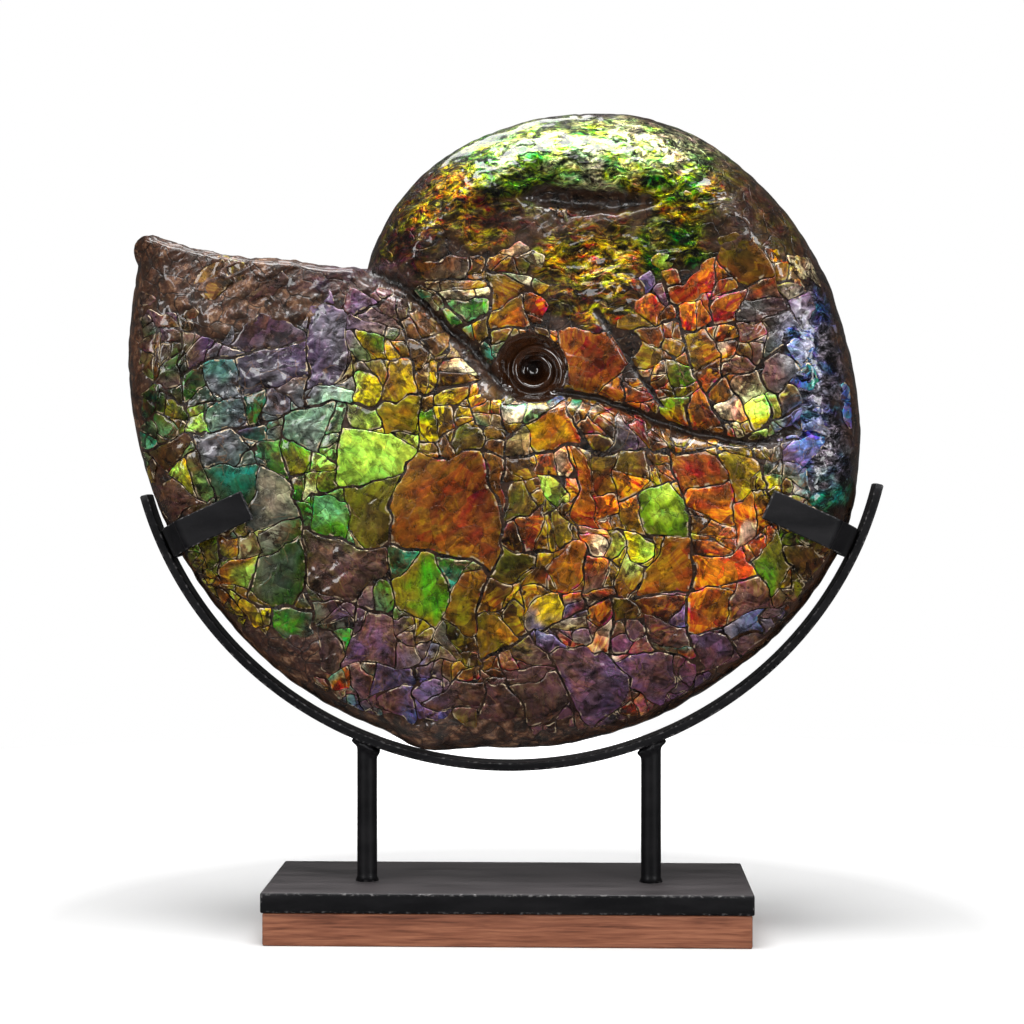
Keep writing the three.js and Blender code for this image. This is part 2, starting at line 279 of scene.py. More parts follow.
# the distances that the relief needs, worked out once on an even grid
gridStep = 1.25
gridX = np.arange(-248, 230, gridStep)
gridZ = np.arange(110, 528, gridStep)


def insideOutline(x, z):
    crossings = np.zeros(x.shape, int)
    for (ax, az), (bx, bz) in zip(outline, np.roll(outline, -1, axis=0)):
        spans = (az > z) != (bz > z)
        reach = ax + (z - az) * (bx - ax) / (bz - az if bz != az else 1)
        crossings += spans & (x < reach)
    return crossings % 2 == 1


edgeRuns = {"older": spiral[: shell["olderSteps"] + 1], "body": spiral[shell["olderSteps"]:], "lip": lip}


def distanceGrids():
    x, z = np.meshgrid(gridX, gridZ)
    seamDistance, seamSide = fromRun(x, z, seamRun)
    older, body, toLip = (fromRun(x, z, run)[0] for run in edgeRuns.values())
    rim = np.minimum(np.minimum(older, body), toLip)
    return {
        "older": older,
        "body": body,
        "lip": toLip,
        "rim": np.where(insideOutline(x, z), rim, -rim),
        "seam": seamDistance * seamSide + 1.4 * ripple(x, z, 13, 11) + 0.8 * ripple(x, z, 5.5, 12),
        "top": fromRun(x, z, topRun)[0] + 1.3 * ripple(x, z, 11, 13) + 0.9 * ripple(x, z, 4.5, 14),
        "wedge": fromRun(x, z, wedgeRun)[0],
    }


grids = distanceGrids()


def at(key, x, z):
    u = np.clip((x - gridX[0]) / gridStep, 0, len(gridX) - 1.001)
    v = np.clip((z - gridZ[0]) / gridStep, 0, len(gridZ) - 1.001)
    i = u.astype(int)
    j = v.astype(int)
    grid = grids[key]
    low = blend(grid[j, i], grid[j, i + 1], u - i)
    high = blend(grid[j + 1, i], grid[j + 1, i + 1], u - i)
    return blend(low, high, v - j)


# the distance to one of the shell's edges; the grid is too coarse right beside them
def toEdgeRun(key, x, z):
    distance = at(key, x, z)
    close = distance < 3
    if close.any():
        distance[close] = fromRun(x[close], z[close], edgeRuns[key])[0]
    return distance


def roundOff(share):
    return np.sqrt(np.maximum(1 - (1 - np.clip(share, 0, 1)) ** 2, 0))


# half the thickness of the shell, before any groove
def halfThickness(x, z):
    toOlder = toEdgeRun("older", x, z)
    toBody = toEdgeRun("body", x, z)
    toSeam = at("seam", x, z)
    onBody = smooth(-toSeam, 0, shell["stepWidth"])
    level = blend(onBody, shell["seamHeight"], smooth(x, *shell["seamFade"]))
    eyeX, eyeZ = shell["umbilicus"]
    fromEye = np.hypot(x - eyeX, z - eyeZ)
    inward = 1 - smooth(fromEye, *shell["fall"]) ** 2
    shoulder = blend(shell["olderHalf"], shell["bodyHalf"], level)
    thickness = blend(shell["rimHalf"], shoulder, inward)

    toVenter = np.minimum(toOlder, toBody)
    low, high = shell["ridgeAbove"]
    aboveEye = smooth(z, eyeZ + low, eyeZ + high) * (1 - onBody)
    onRidge = bell(toVenter - shell["ridgeInset"], shell["ridgeWidth"])
    thickness = thickness + (shell["ridgeHalf"] - shell["olderHalf"]) * onRidge * aboveEye
    height, length = shell["waves"]
    thickness = thickness + height * np.sin(x / length) * np.sin(z / length)

    roundOlder = blend(roundOff(toOlder / shell["venterWidth"]), 1, onBody)
    roundBody = roundOff(toBody / shell["venterWidth"])
    roundLip = roundOff(toEdgeRun("lip", x, z) / shell["lipWidth"]) ** 0.5
    return thickness * np.minimum(roundOlder, roundBody) * roundLip


# where a point lies in the eye-shaped hollow: 0 in the middle, 1 on its edge
def inEye(x, z):
    eye = carving["eye"]
    turn = math.radians(eye["turn"])
    dx = x - eye["x"]
    dz = z - eye["z"]
    along = dx * math.cos(turn) + dz * math.sin(turn)
    across = -dx * math.sin(turn) + dz * math.cos(turn)
    return np.hypot(along / eye["length"], across / eye["height"])


# how wide the groove under the ridge is, from 0 where it is a crack to 1 in the middle
def topLens(x):
    middle, half = carving["topLens"]
    return np.sqrt(np.maximum(1 - ((x - middle) / half) ** 2, 0))


def topHollow(x, z):
    width = blend(*carving["topWidth"], topLens(x))
    return np.exp(-(np.abs(at("top", x, z) / width) ** 2.8))


# how far the flank stands from the middle plane; front is the decorated flank
def flank(x, z, front):
    height = halfThickness(x, z)
    start, end, loss = carving["seamShallows"]
    fade = 1 - loss * smooth(x, start, end)
    toSeam = np.abs(at("seam", x, z))
    insideEdge = smooth(np.minimum(at("older", x, z), at("body", x, z)), *carving["rimFade"])
    seamWidth = carving["seamWidth"] * (1 + 0.45 * ripple(x, z, 24, 15))
    grooves = carving["seamDepth"] * fade * bell(toSeam, seamWidth)
    if front:
        grooves = grooves + blend(*carving["topDepth"], topLens(x)) * topHollow(x, z)
        wedge = bell(at("wedge", x, z), carving["wedgeWidth"])
        grooves = grooves + carving["wedgeDepth"] * wedge
    fromMiddle = inEye(x, z)
    bowl = carving["eye"]["depth"] * np.sqrt(np.maximum(1 - fromMiddle**2, 0))
    bowl = bowl + carving["eye"]["pit"] * (1 - smooth(fromMiddle, 0.2, 0.5))
    return height - np.maximum(grooves * insideEdge, bowl - 1)


# the skin between the plates: middle, half sizes, two colours, how much foil and how much crust
skinPatches = [
    (20, 492, 70, 21, "green", "lime", 1.0, 0.0),
    (66, 490, 62, 19, "lime", "pearl", 1.0, 0.0),
    (110, 470, 22, 22, "green", "gold", 1.0, 0.0),
    (-46, 470, 34, 22, "bark", "gold", 0.9, 0.1),
    (-60, 440, 24, 24, "bark", "olive", 0.8, 0.2),
    (-20, 446, 26, 12, "bark", "gold", 0.7, 0.3),
    (2, 468, 26, 16, "bark", "green", 0.9, 0.1),
    (30, 447, 34, 10, "bark", "tan", 0.5, 0.5),
    (76, 448, 30, 8, "bark", "tan", 0.4, 0.6),
    (56, 428, 30, 22, "gold", "olive", 1.0, 0.0),
    (58, 398, 24, 16, "bark", "gold", 0.8, 0.1),
    (104, 436, 16, 20, "green", "olive", 1.0, 0.0),
    (156, 458, 30, 32, "bark", "olive", 0.5, 0.4),
    (216, 380, 13, 110, "night", "bark", 0.0, 0.15),
    (192, 372, 16, 34, "blue", "lavender", 1.0, 0.0),
    (196, 318, 14, 34, "blue", "lavender", 1.0, 0.0),
    (204, 282, 12, 20, "teal", "night", 0.8, 0.1),
    (-186, 420, 52, 18, "crust", "bark", 0.0, 1.0),
    (-160, 396, 46, 12, "tan", "crust", 0.1, 1.0),
    (-94, 417, 36, 11, "violet", "plum", 0.45, 0.6),
    (-238, 370, 9, 80, "bark", "crust", 0.1, 0.8),
    (-40, 128, 90, 10, "crust", "slate", 0.0, 0.9),
    (90, 140, 60, 12, "night", "bark", 0.0, 0.3),
    (150, 168, 30, 22, "night", "bark", 0.0, 0.1),
    (-150, 172, 34, 18, "bark", "plum", 0.2, 0.8),
    (-214, 236, 16, 50, "night", "bark", 0.1, 0.6),
    (192, 216, 15, 50, "night", "bark", 0.0, 0.15),
    (-12, 344, 9, 6, "tan", "gold", 0.3, 0.7),
    (88, 469, 14, 10, "green", "gold", 1.0, 0.0),
]
backPatches = [
    (40, 480, 80, 24, "olive", "green", 0.9, 0.1),
    (-60, 440, 40, 30, "bark", "gold", 0.5, 0.5),
    (150, 420, 40, 60, "bark", "rust", 0.3, 0.7),
    (-200, 380, 50, 60, "crust", "tan", 0.1, 1.0),
    (0, 150, 170, 24, "crust", "bark", 0.0, 1.0),
    (190, 260, 24, 90, "night", "bark", 0.1, 0.7),
    (-180, 230, 30, 50, "plum", "bark", 0.2, 0.8),
]


# the bare lumpy band on the body's side of the seam, narrower past the eye
def seamBand(x, z):
    away = -at("seam", x, z)
    width = 6 - 2 * smooth(x, -35, 0)
    return smooth(away, 0.5, 3) * (1 - smooth(away, width - 3, width + 2)) * (1 - smooth(x, -10, 15))


def skinFields(x, z, front):
    total = np.full(x.shape, 0.25)
    tint = np.zeros((*x.shape, 3)) + linear(palette["bark"]) * 0.25
    foil = np.zeros(x.shape)
    crust = np.zeros(x.shape)
    wobbleX = x + 8 * ripple(x, z, 21, 3) + 3 * ripple(x, z, 8, 5)
    wobbleZ = z + 8 * ripple(x, z, 18, 4) + 3 * ripple(x, z, 7, 6)
    for number, patch in enumerate(skinPatches if front else backPatches):
        middleX, middleZ, halfWidth, halfHeight, first, second, foilAmount, crustAmount = patch
        distance = np.hypot((wobbleX - middleX) / halfWidth, (wobbleZ - middleZ) / halfHeight)
        weight = np.exp(-(distance**4) * 0.9)
        mixing = smooth(ripple(x, z * 1.6, 13, 7 + number) + 0.5 * ripple(x, z, 5, 8), -0.5, 0.5)
        colour = blend(linear(palette[first]), linear(palette[second]), mixing[..., None])
        total = total + weight
        tint = tint + colour * weight[..., None]
        foil = foil + foilAmount * weight
        crust = crust + crustAmount * weight
    foil = foil / total
    crust = crust / total
    if front:
        crust = np.maximum(crust, seamBand(x, z) * (1 - foil))
    return tint / total[..., None], foil, crust


# the core of the shell: everything under and between the plates
core = {
    "frontPitch": 1.65,
    "backPitch": 2.9,
    "frontRings": 132,
    "backRings": 75,
    "rimInsets": [0.02, 0.08, 0.18, 0.33, 0.55],  # first rings, for a round edge
    "meanRadius": 215,
    "underPlates": 1.3,  # how far the core lies below the tops of the plates
    "foldHeight": 0.8,
    "crustHeight": 1.55,
    "seamShade": (0.8, 3.2, 182),  # how dark, how wide, and where the seam ends
    "wedgeShade": (0.8, 2.2),
    "dish": {"depth": 9, "half": 29},
}


def coreRings(pitch, count):
    fractions = [1 - inset / core["meanRadius"] for inset in core["rimInsets"]]
    shares = 1 - np.arange(1, count) / count
    fractions += list(0.55 * shares + 0.45 * np.sin(shares * math.pi / 2))
    length = np.hypot(*np.diff(outline, axis=0).T).sum()
    pole = np.array(shell["pole"])
    rings = []
    for fraction in fractions:
        number = max(6, round(fraction * length / pitch))
        rings.append(pole + (evenly(outline, number, closed=True) - pole) * fraction)
    return rings


# triangles between two rings of points that may differ in number
def stitch(outerFirst, outerCount, innerFirst, innerCount, flip):
    faces = []
    i = 0
    j = 0
    while i < outerCount or j < innerCount:
        a = outerFirst + i % outerCount
        b = innerFirst + j % innerCount
        if (i + 0.5) * innerCount <= (j + 0.5) * outerCount:
            i += 1
            c = outerFirst + i % outerCount
        else:
            j += 1
            c = innerFirst + j % innerCount
        faces.append((a, c, b) if flip else (a, b, c))
    return faces


# rings from the rim to the pole on both flanks; side is -1 in front, 0 on the rim and 1 behind
def layOutCore():
    length = np.hypot(*np.diff(outline, axis=0).T).sum()
    rim = evenly(outline, round(length / core["frontPitch"]), closed=True)
    points = [rim]
    sides = [np.zeros(len(rim))]
    faces = []
    total = len(rim)
    for side, pitch, count in ((-1, core["frontPitch"], core["frontRings"]),
                               (1, core["backPitch"], core["backRings"])):
        lastFirst = 0
        lastCount = len(rim)
        for ring in coreRings(pitch, count):
            points.append(ring)
            sides.append(np.full(len(ring), float(side)))
            faces += stitch(lastFirst, lastCount, total, len(ring), side > 0)
            lastFirst = total
            lastCount = len(ring)
            total += len(ring)
        points.append(np.array([shell["pole"]]))
        sides.append(np.array([float(side)]))
        for i in range(lastCount):
            a = lastFirst + i
            b = lastFirst + (i + 1) % lastCount
            faces.append((a, b, total) if side > 0 else (a, total, b))
        total += 1
    return np.vstack(points).T, np.concatenate(sides), faces


# how far into a groove or the eye a place lies, from 0 in the open to 1 in the pit; it paints the shade of
# the grooves, the eye and its pit
def hollowShadeAt(x, z, front):
    bowl = inEye(x, z)
    seamDark, seamWide, seamEnd = core["seamShade"]
    wedgeDark, wedgeWide = core["wedgeShade"]
    inWedge = wedgeDark * bell(at("wedge", x, z), wedgeWide)
    hollowShade = np.where(front, topHollow(x, z), 0) * (0.25 + 0.35 * topLens(x))
    hollowShade = np.maximum(hollowShade, np.where(front, inWedge, 0))
    hollowShade = np.maximum(hollowShade, 0.15 * (1 - smooth(bowl, 0.9, 1.1)))
    hollowShade = np.maximum(hollowShade, 1 - smooth(bowl, 0.30, 0.50))
    inSeam = seamDark * bell(at("seam", x, z), seamWide) * (x < seamEnd)
    return np.maximum(hollowShade, inSeam)


# the flank with its crinkled foil, crumbled crust and grain; the eye stays smooth
def coreHeight(x, z, side, foil, crust, hollowShade, inside):
    front = side <= 0
    height = np.where(front, flank(x, z, True), flank(x, z, False)) * np.abs(side)
    bare = 1 - np.clip(foil + crust, 0, 1)
    sunken = np.where(front, smooth(bare, 0.25, 0.6), smooth(bare, 0.15, 0.4))
    sunken = sunken * inside * (1 - smooth(hollowShade, 0.3, 0.8))
    height = height - core["underPlates"] * sunken

    folds = 0.8 * crease(x, z * 1.6, 8, 21) + 0.6 * crease(x + z * 0.4, z * 1.5, 4, 22)
    ledgeX = x * 0.87 + z * 0.5
    ledgeZ = z * 0.87 - x * 0.5
    lumps = 0.6 * ripple(x, z, 11, 23) + 1.3 * crease(ledgeX * 0.4, ledgeZ, 6.5, 24)
    lumps = lumps + 0.6 * crease(ledgeX * 0.5, ledgeZ, 3.6, 25) + 0.3 * ripple(x, z, 3.2, 28)
    knobs = np.where(front, seamBand(x, z), 0)
    lumps = lumps + knobs * (1.5 * ripple(x, z, 9, 33) + 1.0 * crease(x, z, 5, 34))
    skin = foil * folds * core["foldHeight"] + crust * lumps * core["crustHeight"] - 0.8 * (foil + crust)
    height = height + inside * skin

    inLens = np.where(front, topHollow(x, z), 0) * topLens(x)
    height = height + inLens * (1.6 * crease(x, z * 0.5, 7, 35) + 0.8 * ripple(x, z, 4, 36))
    polish = eyePolish(x, z)
    grain = 0.2 * ripple(x, z, 2.4, 26) + 0.25 * ripple(x, z, 5, 27)
    height = height + inside * grain * (1 - 0.8 * polish)
    besideSeam = bell(at("seam", x, z), 6) * (1 - polish) * inside
    return height + besideSeam * (0.8 * crease(x, z, 3.7, 37) + 0.6 * ripple(x, z, 2.8, 38))


def eyePolish(x, z):
    return 1 - smooth(inEye(x, z), 0.95, 1.2)


# the edge is worn back a little here and there, with fine growth lines across it
def wearEdge(x, z, acrossRim, toEdge):
    outward = np.column_stack([x, z]) - np.array(shell["pole"])
    outward = outward / np.maximum(np.hypot(*outward.T), 1)[:, None]
    worn = 0.5 + 0.5 * ripple(x * 0.8 + z * 0.5, z * 0.8 - acrossRim, 17, 31)
    chips = 0.5 + 0.5 * ripple(x + acrossRim * 0.6, z + acrossRim * 0.4, 6, 32)
    growth = 0.5 + 0.5 * crease(x * 0.5 + acrossRim * 0.12, z * 0.5, 4, 41)
    carve = (1.1 * worn**2 + 0.6 * chips**2 + 0.5 * growth) * (1 - smooth(toEdge, 2, 16))
    return x - outward[:, 0] * carve, z - outward[:, 1] * carve


# the fill of the open end has sunk between its two walls
def sinkLip(x, z, side, height):
    dish = core["dish"]
    start = lip[3]
    end = lip[-3]
    half = np.hypot(*(end - start)) / 2
    middle = (start + end) / 2
    way = (end - start) / (2 * half)
    toLip = at("lip", x, z)
    alongLip = (x - middle[0]) * way[0] + (z - middle[1]) * way[1]
    inDish = 1 - (alongLip / half) ** 2 - (height / dish["half"]) ** 2
    sunk = dish["depth"] * np.sqrt(np.clip(inDish, 0, 1)) * (toLip < 3)
    fine = np.where(side <= 0, 0.5, 0) * ripple(x, side * height, 2.7, 40)
    crumbled = 1.2 + 0.8 * ripple(x, side * height, 6, 39) + fine
    sunk = sunk + crumbled * (1 - smooth(toLip, 1, 7)) * np.abs(side)
    return x + sunk * way[1], z - sunk * way[0]


def buildCore():
    (x, z), side, faces = layOutCore()
    front = side <= 0
    ahead = skinFields(x, z, True)
    behind = skinFields(x, z, False)
    tint = np.where(front[:, None], ahead[0], behind[0])
    foil = np.where(front, ahead[1], behind[1])
    crust = np.where(front, ahead[2], behind[2])
    hollowShade = hollowShadeAt(x, z, front)
    foil = foil * (1 - smooth(hollowShade, 0.1, 0.5))
    crust = crust * (1 - smooth(hollowShade, 0.2, 0.6))
    # the band beside the seam takes half of it too: darker, with less coat
    hollowShade = np.maximum(hollowShade, np.where(front, 0.5 * seamBand(x, z), 0))
    polish = eyePolish(x, z)

    toEdge = np.minimum(np.minimum(at("older", x, z), at("body", x, z)), at("lip", x, z))
    inside = smooth(toEdge, 0.5, 14)
    height = coreHeight(x, z, side, foil, crust, hollowShade, inside)
    x, z = wearEdge(x, z, side * height, toEdge)
    x, z = sinkLip(x, z, side, height)
    y = np.maximum(shell["midY"] + side * height, cadBox[0].y / mm + 0.05)
    toLip = at("lip", x, z)
    crust = np.where(toLip < 1.5, 1.5, np.where(toLip < 6, 1, crust))  # over 1 it is dull as well
    floats = {"foil": foil, "crust": crust, "hollowShade": hollowShade, "polish": polish}
    return makePiece("ammoniteCore", np.column_stack([x, y, z]), faces, floats, {"tint": tint})


ammoniteCore = buildCore()
print("core of the shell:", len(ammoniteCore.data.polygons), "faces")

# the plates of ammolite: middle, half size and the two colours that each runs between
frontPlates = [
    (-82, 303, 21, "lime", "lime"), (-64, 326, 12, "amber", "olive"), (-31, 283, 29, "maroon", "amber"),
    (-38, 325, 6, "amber", "gold"), (-20, 313, 9, "forest", "olive"), (-3, 292, 9, "rust", "bark"),
    (10, 276, 8, "olive", "forest"), (14, 260, 8, "ruby", "rust"), (25, 316, 12, "gold", "ember"),
    (35, 299, 5, "pearl", "pink"), (47, 271, 12, "rust", "pink"), (37, 237, 11, "rust", "amber"),
    (28, 281, 7, "lime", "olive"), (34, 257, 8, "olive", "gold"), (-86, 274, 14, "bark", "olive"),
    (-106, 263, 12, "mint", "green"), (-130, 283, 6, "forest", "green"),
    (-151, 271, 12, "pearl", "slate"), (-162, 286, 12, "teal", "forest"),
    (-176, 309, 12, "lavender", "slate"), (-157, 317, 7, "teal", "violet"),
    (-120, 325, 11, "lavender", "mint"), (-132, 303, 9, "green", "olive"),
    (-207, 274, 12, "crust", "plum"), (-201, 289, 5, "lime", "gold"), (-227, 312, 5, "teal", "mint"),
    (-217, 303, 8, "crust", "bark"), (-205, 331, 6, "forest", "olive"), (-192, 324, 6, "lime", "bark"),
    (-170, 232, 9, "lime", "ember"), (-183, 250, 8, "olive", "forest"),
    (-138, 232, 16, "slate", "forest"), (-100, 232, 18, "plum", "bark"), (-72, 239, 7, "teal", "forest"),
    (-47, 215, 17, "green", "olive"), (-33, 235, 7, "teal", "green"), (-23, 211, 12, "olive", "amber"),
    (-132, 202, 9, "green", "slate"), (-160, 205, 7, "gold", "olive"), (-80, 186, 19, "violet", "plum"),
    (-114, 186, 9, "plum", "crust"), (-100, 191, 4, "green", "forest"), (-9, 191, 12, "amber", "olive"),
    (1, 237, 9, "forest", "olive"), (25, 207, 9, "blue", "gold"), (-7, 218, 7, "amber", "bark"),
    (-68, 152, 10, "blue", "plum"), (-106, 162, 7, "teal", "ember"), (58, 271, 6, "pink", "ruby"),
    (54, 250, 6, "pearl", "pink"), (75, 297, 9, "olive", "bark"), (93, 274, 11, "lime", "green"),
    (77, 286, 6, "ember", "rust"), (107, 289, 14, "ruby", "rust"), (81, 245, 9, "gold", "lime"),
    (73, 263, 8, "ember", "gold"), (123, 277, 12, "rust", "ember"), (142, 293, 10, "olive", "gold"),
    (103, 234, 14, "amber", "rust"), (127, 234, 11, "ember", "pink"), (146, 263, 9, "pearl", "ember"),
    (168, 245, 12, "green", "olive"), (154, 247, 6, "ember", "ruby"), (122, 213, 11, "amber", "ember"),
    (73, 213, 9, "olive", "bark"), (55, 228, 7, "slate", "ember"), (95, 196, 12, "rust", "plum"),
    (107, 200, 5, "blue", "violet"), (51, 166, 21, "plum", "violet"), (86, 172, 16, "plum", "violet"),
    (59, 188, 6, "pearl", "ember"), (109, 183, 5, "teal", "ruby"), (127, 182, 11, "violet", "plum"),
    (146, 199, 9, "lavender", "blue"), (155, 216, 10, "amber", "plum"), (184, 236, 11, "crust", "bark"),
    (154, 187, 9, "plum", "crust"), (83, 148, 6, "ember", "plum"), (27, 155, 12, "plum", "crust"),
    (-9, 152, 12, "crust", "plum"), (75, 311, 7, "slate", "violet"), (146, 311, 7, "forest", "amber"),
    (102, 332, 9, "green", "ember"), (120, 327, 8, "ember", "rust"), (154, 330, 6, "lime", "gold"),
    (138, 332, 6, "pearl", "ruby"), (-212, 352, 7, "forest", "plum"), (-195, 351, 7, "forest", "green"),
    (-151, 354, 12, "lavender", "violet"), (-115, 368, 22, "lavender", "violet"),
    (-111, 336, 11, "lavender", "mint"), (-175, 350, 8, "lavender", "teal"),
    (-157, 335, 6, "green", "teal"), (-191, 368, 7, "violet", "crust"), (-180, 417, 8, "tan", "crust"),
    (-164, 415, 7, "tan", "olive"), (-147, 409, 9, "plum", "crust"), (-96, 395, 10, "violet", "plum"),
    (-83, 370, 7, "gold", "green"), (-83, 345, 7, "gold", "lime"), (-48, 408, 6, "pearl", "amber"),
    (-36, 416, 8, "slate", "amber"), (-25, 403, 5, "pearl", "tan"), (-6, 411, 13, "amber", "olive"),
    (9, 411, 4, "pearl", "mint"), (-26, 391, 7, "green", "mint"), (-2, 385, 9, "olive", "ember"),
    (17, 395, 6, "ruby", "bark"), (-52, 403, 3, "teal", "mint"), (-12, 364, 6, "teal", "night"),
    (56, 364, 24, "maroon", "rust"), (78, 383, 11, "tan", "olive"), (87, 364, 8, "olive", "tan"),
    (89, 392, 8, "rust", "ember"), (113, 408, 11, "ruby", "ember"), (109, 390, 8, "ember", "rust"),
    (130, 388, 8, "ruby", "rust"), (117, 370, 13, "amber", "olive"), (135, 368, 5, "pearl", "ember"),
    (105, 353, 7, "green", "olive"), (95, 358, 4, "ember", "pearl"), (124, 352, 9, "amber", "ruby"),
    (151, 386, 9, "slate", "plum"), (166, 356, 9, "plum", "slate"), (181, 395, 7, "violet", "lavender"),
    (180, 372, 7, "lavender", "blue"), (184, 350, 6, "blue", "teal"), (143, 431, 12, "olive", "amber"),
    (164, 424, 5, "ember", "gold"), (180, 420, 5, "pearl", "tan"), (97, 422, 5, "lime", "gold"),
    (87, 410, 4, "blue", "violet"), (110, 456, 7, "lime", "ember"), (181, 306, 9, "blue", "violet"),
    (188, 325, 7, "blue", "lavender"), (164, 288, 6, "gold", "teal"), (-47, 325, 7, "green", "gold"),
    (-68, 394, 7, "plum", "tan"), (-54, 384, 6, "tan", "bark"), (-41, 370, 6, "bark", "tan"),
    (-30, 358, 5, "rust", "pearl"), (-63, 347, 9, "amber", "gold"), (74, 341, 8, "maroon", "ember"),
    (-6, 333, 5, "tan", "gold"), (6, 329, 5, "pearl", "teal"), (18, 332, 5, "gold", "mint"),
    (29, 335, 4, "teal", "blue"), (41, 333, 4, "bark", "teal"),
]

# how the skin has cracked, in millimetres and square millimetres
cracking = {
    "sheet": [(-255, 108), (235, 108), (235, 528), (-255, 528)],  # the uncracked skin
    "freeAreas": (75, 760),  # plates that aren't named
    "namedArea": (1.75, 12),  # times the area of a named plate's size, and added to it
    "edgeArea": 55,  # the largest plate beside the seam, a groove or the rim
    "keepClear": 0.9,  # share of a named plate's half size that no crack enters
    "tries": (30, 4),  # ways tried for a crack, and more for each named plate it could hit
    "narrowest": 0.2,
    "widest": 1.35,
    "widening": 0.0085,
    "rimMargins": (4.5, 9),  # where no plate lies: on the left, and on the right and below
    "seamMargin": 1.9,
    "breakable": 110,  # the smallest plate that may lose corners
    "brokenCorners": (0, 4),  # how few and how many of its corners a plate may have lost
    "cornerShares": (0.22, 0.55),  # how far along its sides such a corner reaches
    "pathBend": ((8, 65), (5, 22), (2.0, 8), (0.6, 2.8)),  # how far, over what length
}


def polygonArea(corners):
    x, z = corners.T
    return 0.5 * abs(np.dot(x, np.roll(z, -1)) - np.dot(z, np.roll(x, -1)))


def polygonMiddle(corners):
    x, z = corners.T
    cross = x * np.roll(z, -1) - z * np.roll(x, -1)
    total = cross.sum()
    if abs(total) < 1e-6:
        return corners.mean(axis=0)
    weighted = [((side + np.roll(side, -1)) * cross).sum() for side in (x, z)]
    return np.array(weighted) / (3 * total)


# the two parts of a convex plate that a straight crack leaves; each side keeps its crack's width
def splitPlate(corners, widths, point, way, width):
    normal = np.array([-way[1], way[0]])
    sides = (corners - point) @ normal
    halves = []
    for sign in (1, -1):
        newCorners = []
        newWidths = []
        for i in range(len(corners)):
            j = (i + 1) % len(corners)
            here = sides[i] * sign
            there = sides[j] * sign
            if here >= 0:
                newCorners.append(corners[i])
                newWidths.append(widths[i])
            if here * there < 0:
                newCorners.append(corners[i] + (corners[j] - corners[i]) * here / (here - there))
                newWidths.append(width if here >= 0 else widths[i])
        halves.append((np.array(newCorners), newWidths))
    return halves


# a crack is drawn between two named plates, beside one, or across a plain one
def tryCrack(corners, middle, named):
    if len(named) > 1:
        first, second = draw.choice(len(named), 2, replace=False)
        a, b = named[first], named[second]
        between = b[:2] - a[:2]
        point = a[:2] + between * a[2] / (a[2] + b[2])
        turn = draw.normal(0, 0.35)
    elif len(named) == 1:
        away = draw.uniform(0, 2 * math.pi)
        between = np.array([math.cos(away), math.sin(away)])
        point = named[0][:2] + between * named[0][2] * draw.uniform(1.0, 1.2)
        turn = 0
    else:
        spread = corners - middle
        _, axes = np.linalg.eigh(spread.T @ spread)
        between = axes[:, 1]
        point = middle + draw.normal(0, 0.2, 2) * math.sqrt(polygonArea(corners))
        turn = draw.normal(0, 0.8)
    way = np.array([-between[1], between[0]])
    way = way / np.hypot(*way)
    cosine, sine = math.cos(turn), math.sin(turn)
    return point, np.array([way[0] * cosine - way[1] * sine, way[0] * sine + way[1] * cosine])


def crackCost(corners, widths, point, way, named):
    halves = splitPlate(corners, widths, point, way, 1)
    if min(len(half[0]) for half in halves) < 3:
        return 1e9, halves
    areas = [polygonArea(half[0]) for half in halves]
    normal = np.array([-way[1], way[0]])
    cost = 0.0
    if len(named):
        bite = np.maximum(named[:, 2] * cracking["keepClear"] - np.abs((named[:, :2] - point) @ normal), 0)
        cost += (bite**2 * named[:, 2]).sum() * 0.6
    if len(named) == 1:
        holds = 0 if ((named[0, :2] - point) @ normal) > 0 else 1
        cost -= areas[1 - holds] * 0.5
    else:
        cost += abs(areas[0] - areas[1]) * (0.25 if len(named) else 0.12)
    for (half, _), size in zip(halves, areas):
        rim = np.hypot(*(half - np.roll(half, -1, axis=0)).T).sum()
        cost += max(rim * rim / max(size, 1) - 17, 0) * size * 0.04
    return cost, halves


# cracks are laid out straight and then wander: from the straight layout to where they run, and back
def wander(x, z):
    bends = list(enumerate(cracking["pathBend"]))
    dx = sum(far * ripple(x, z, length, 51 + i) for i, (far, length) in bends)
    dz = sum(far * ripple(x, z, length, 71 + i) for i, (far, length) in bends)
    return x + dx, z + dz


def straighten(x, z):
    backX, backZ = x, z
    for _ in range(6):
        awayX, awayZ = wander(backX, backZ)
        backX = backX + (x - awayX) * 0.8
        backZ = backZ + (z - awayZ) * 0.8
    return backX, backZ


# how freely a plate may lie at a point of the straight layout: below 0 past the rim or in a groove
def freedom(straightX, straightZ, side, front):
    x, z = wander(straightX, straightZ)
    right = smooth(x + 0.8 * (340 - z), -190, -40)
    low, high = cracking["rimMargins"]
    free = at("rim", x, z) - blend(low, high, right) - 2.5 * ripple(x, z, 16, 91)
    free = np.minimum(free, (inEye(x, z) - 1.12) * 20)
    seam = at("seam", x, z) * side - cracking["seamMargin"]
    free = np.where(x > shell["seamEnd"][0], free, np.minimum(free, seam))
    if front:
        free = np.minimum(free, at("wedge", x, z) - 0.9)
        free = np.minimum(free, at("top", x, z) - blend(0.9, 8, topLens(x)))
    return free


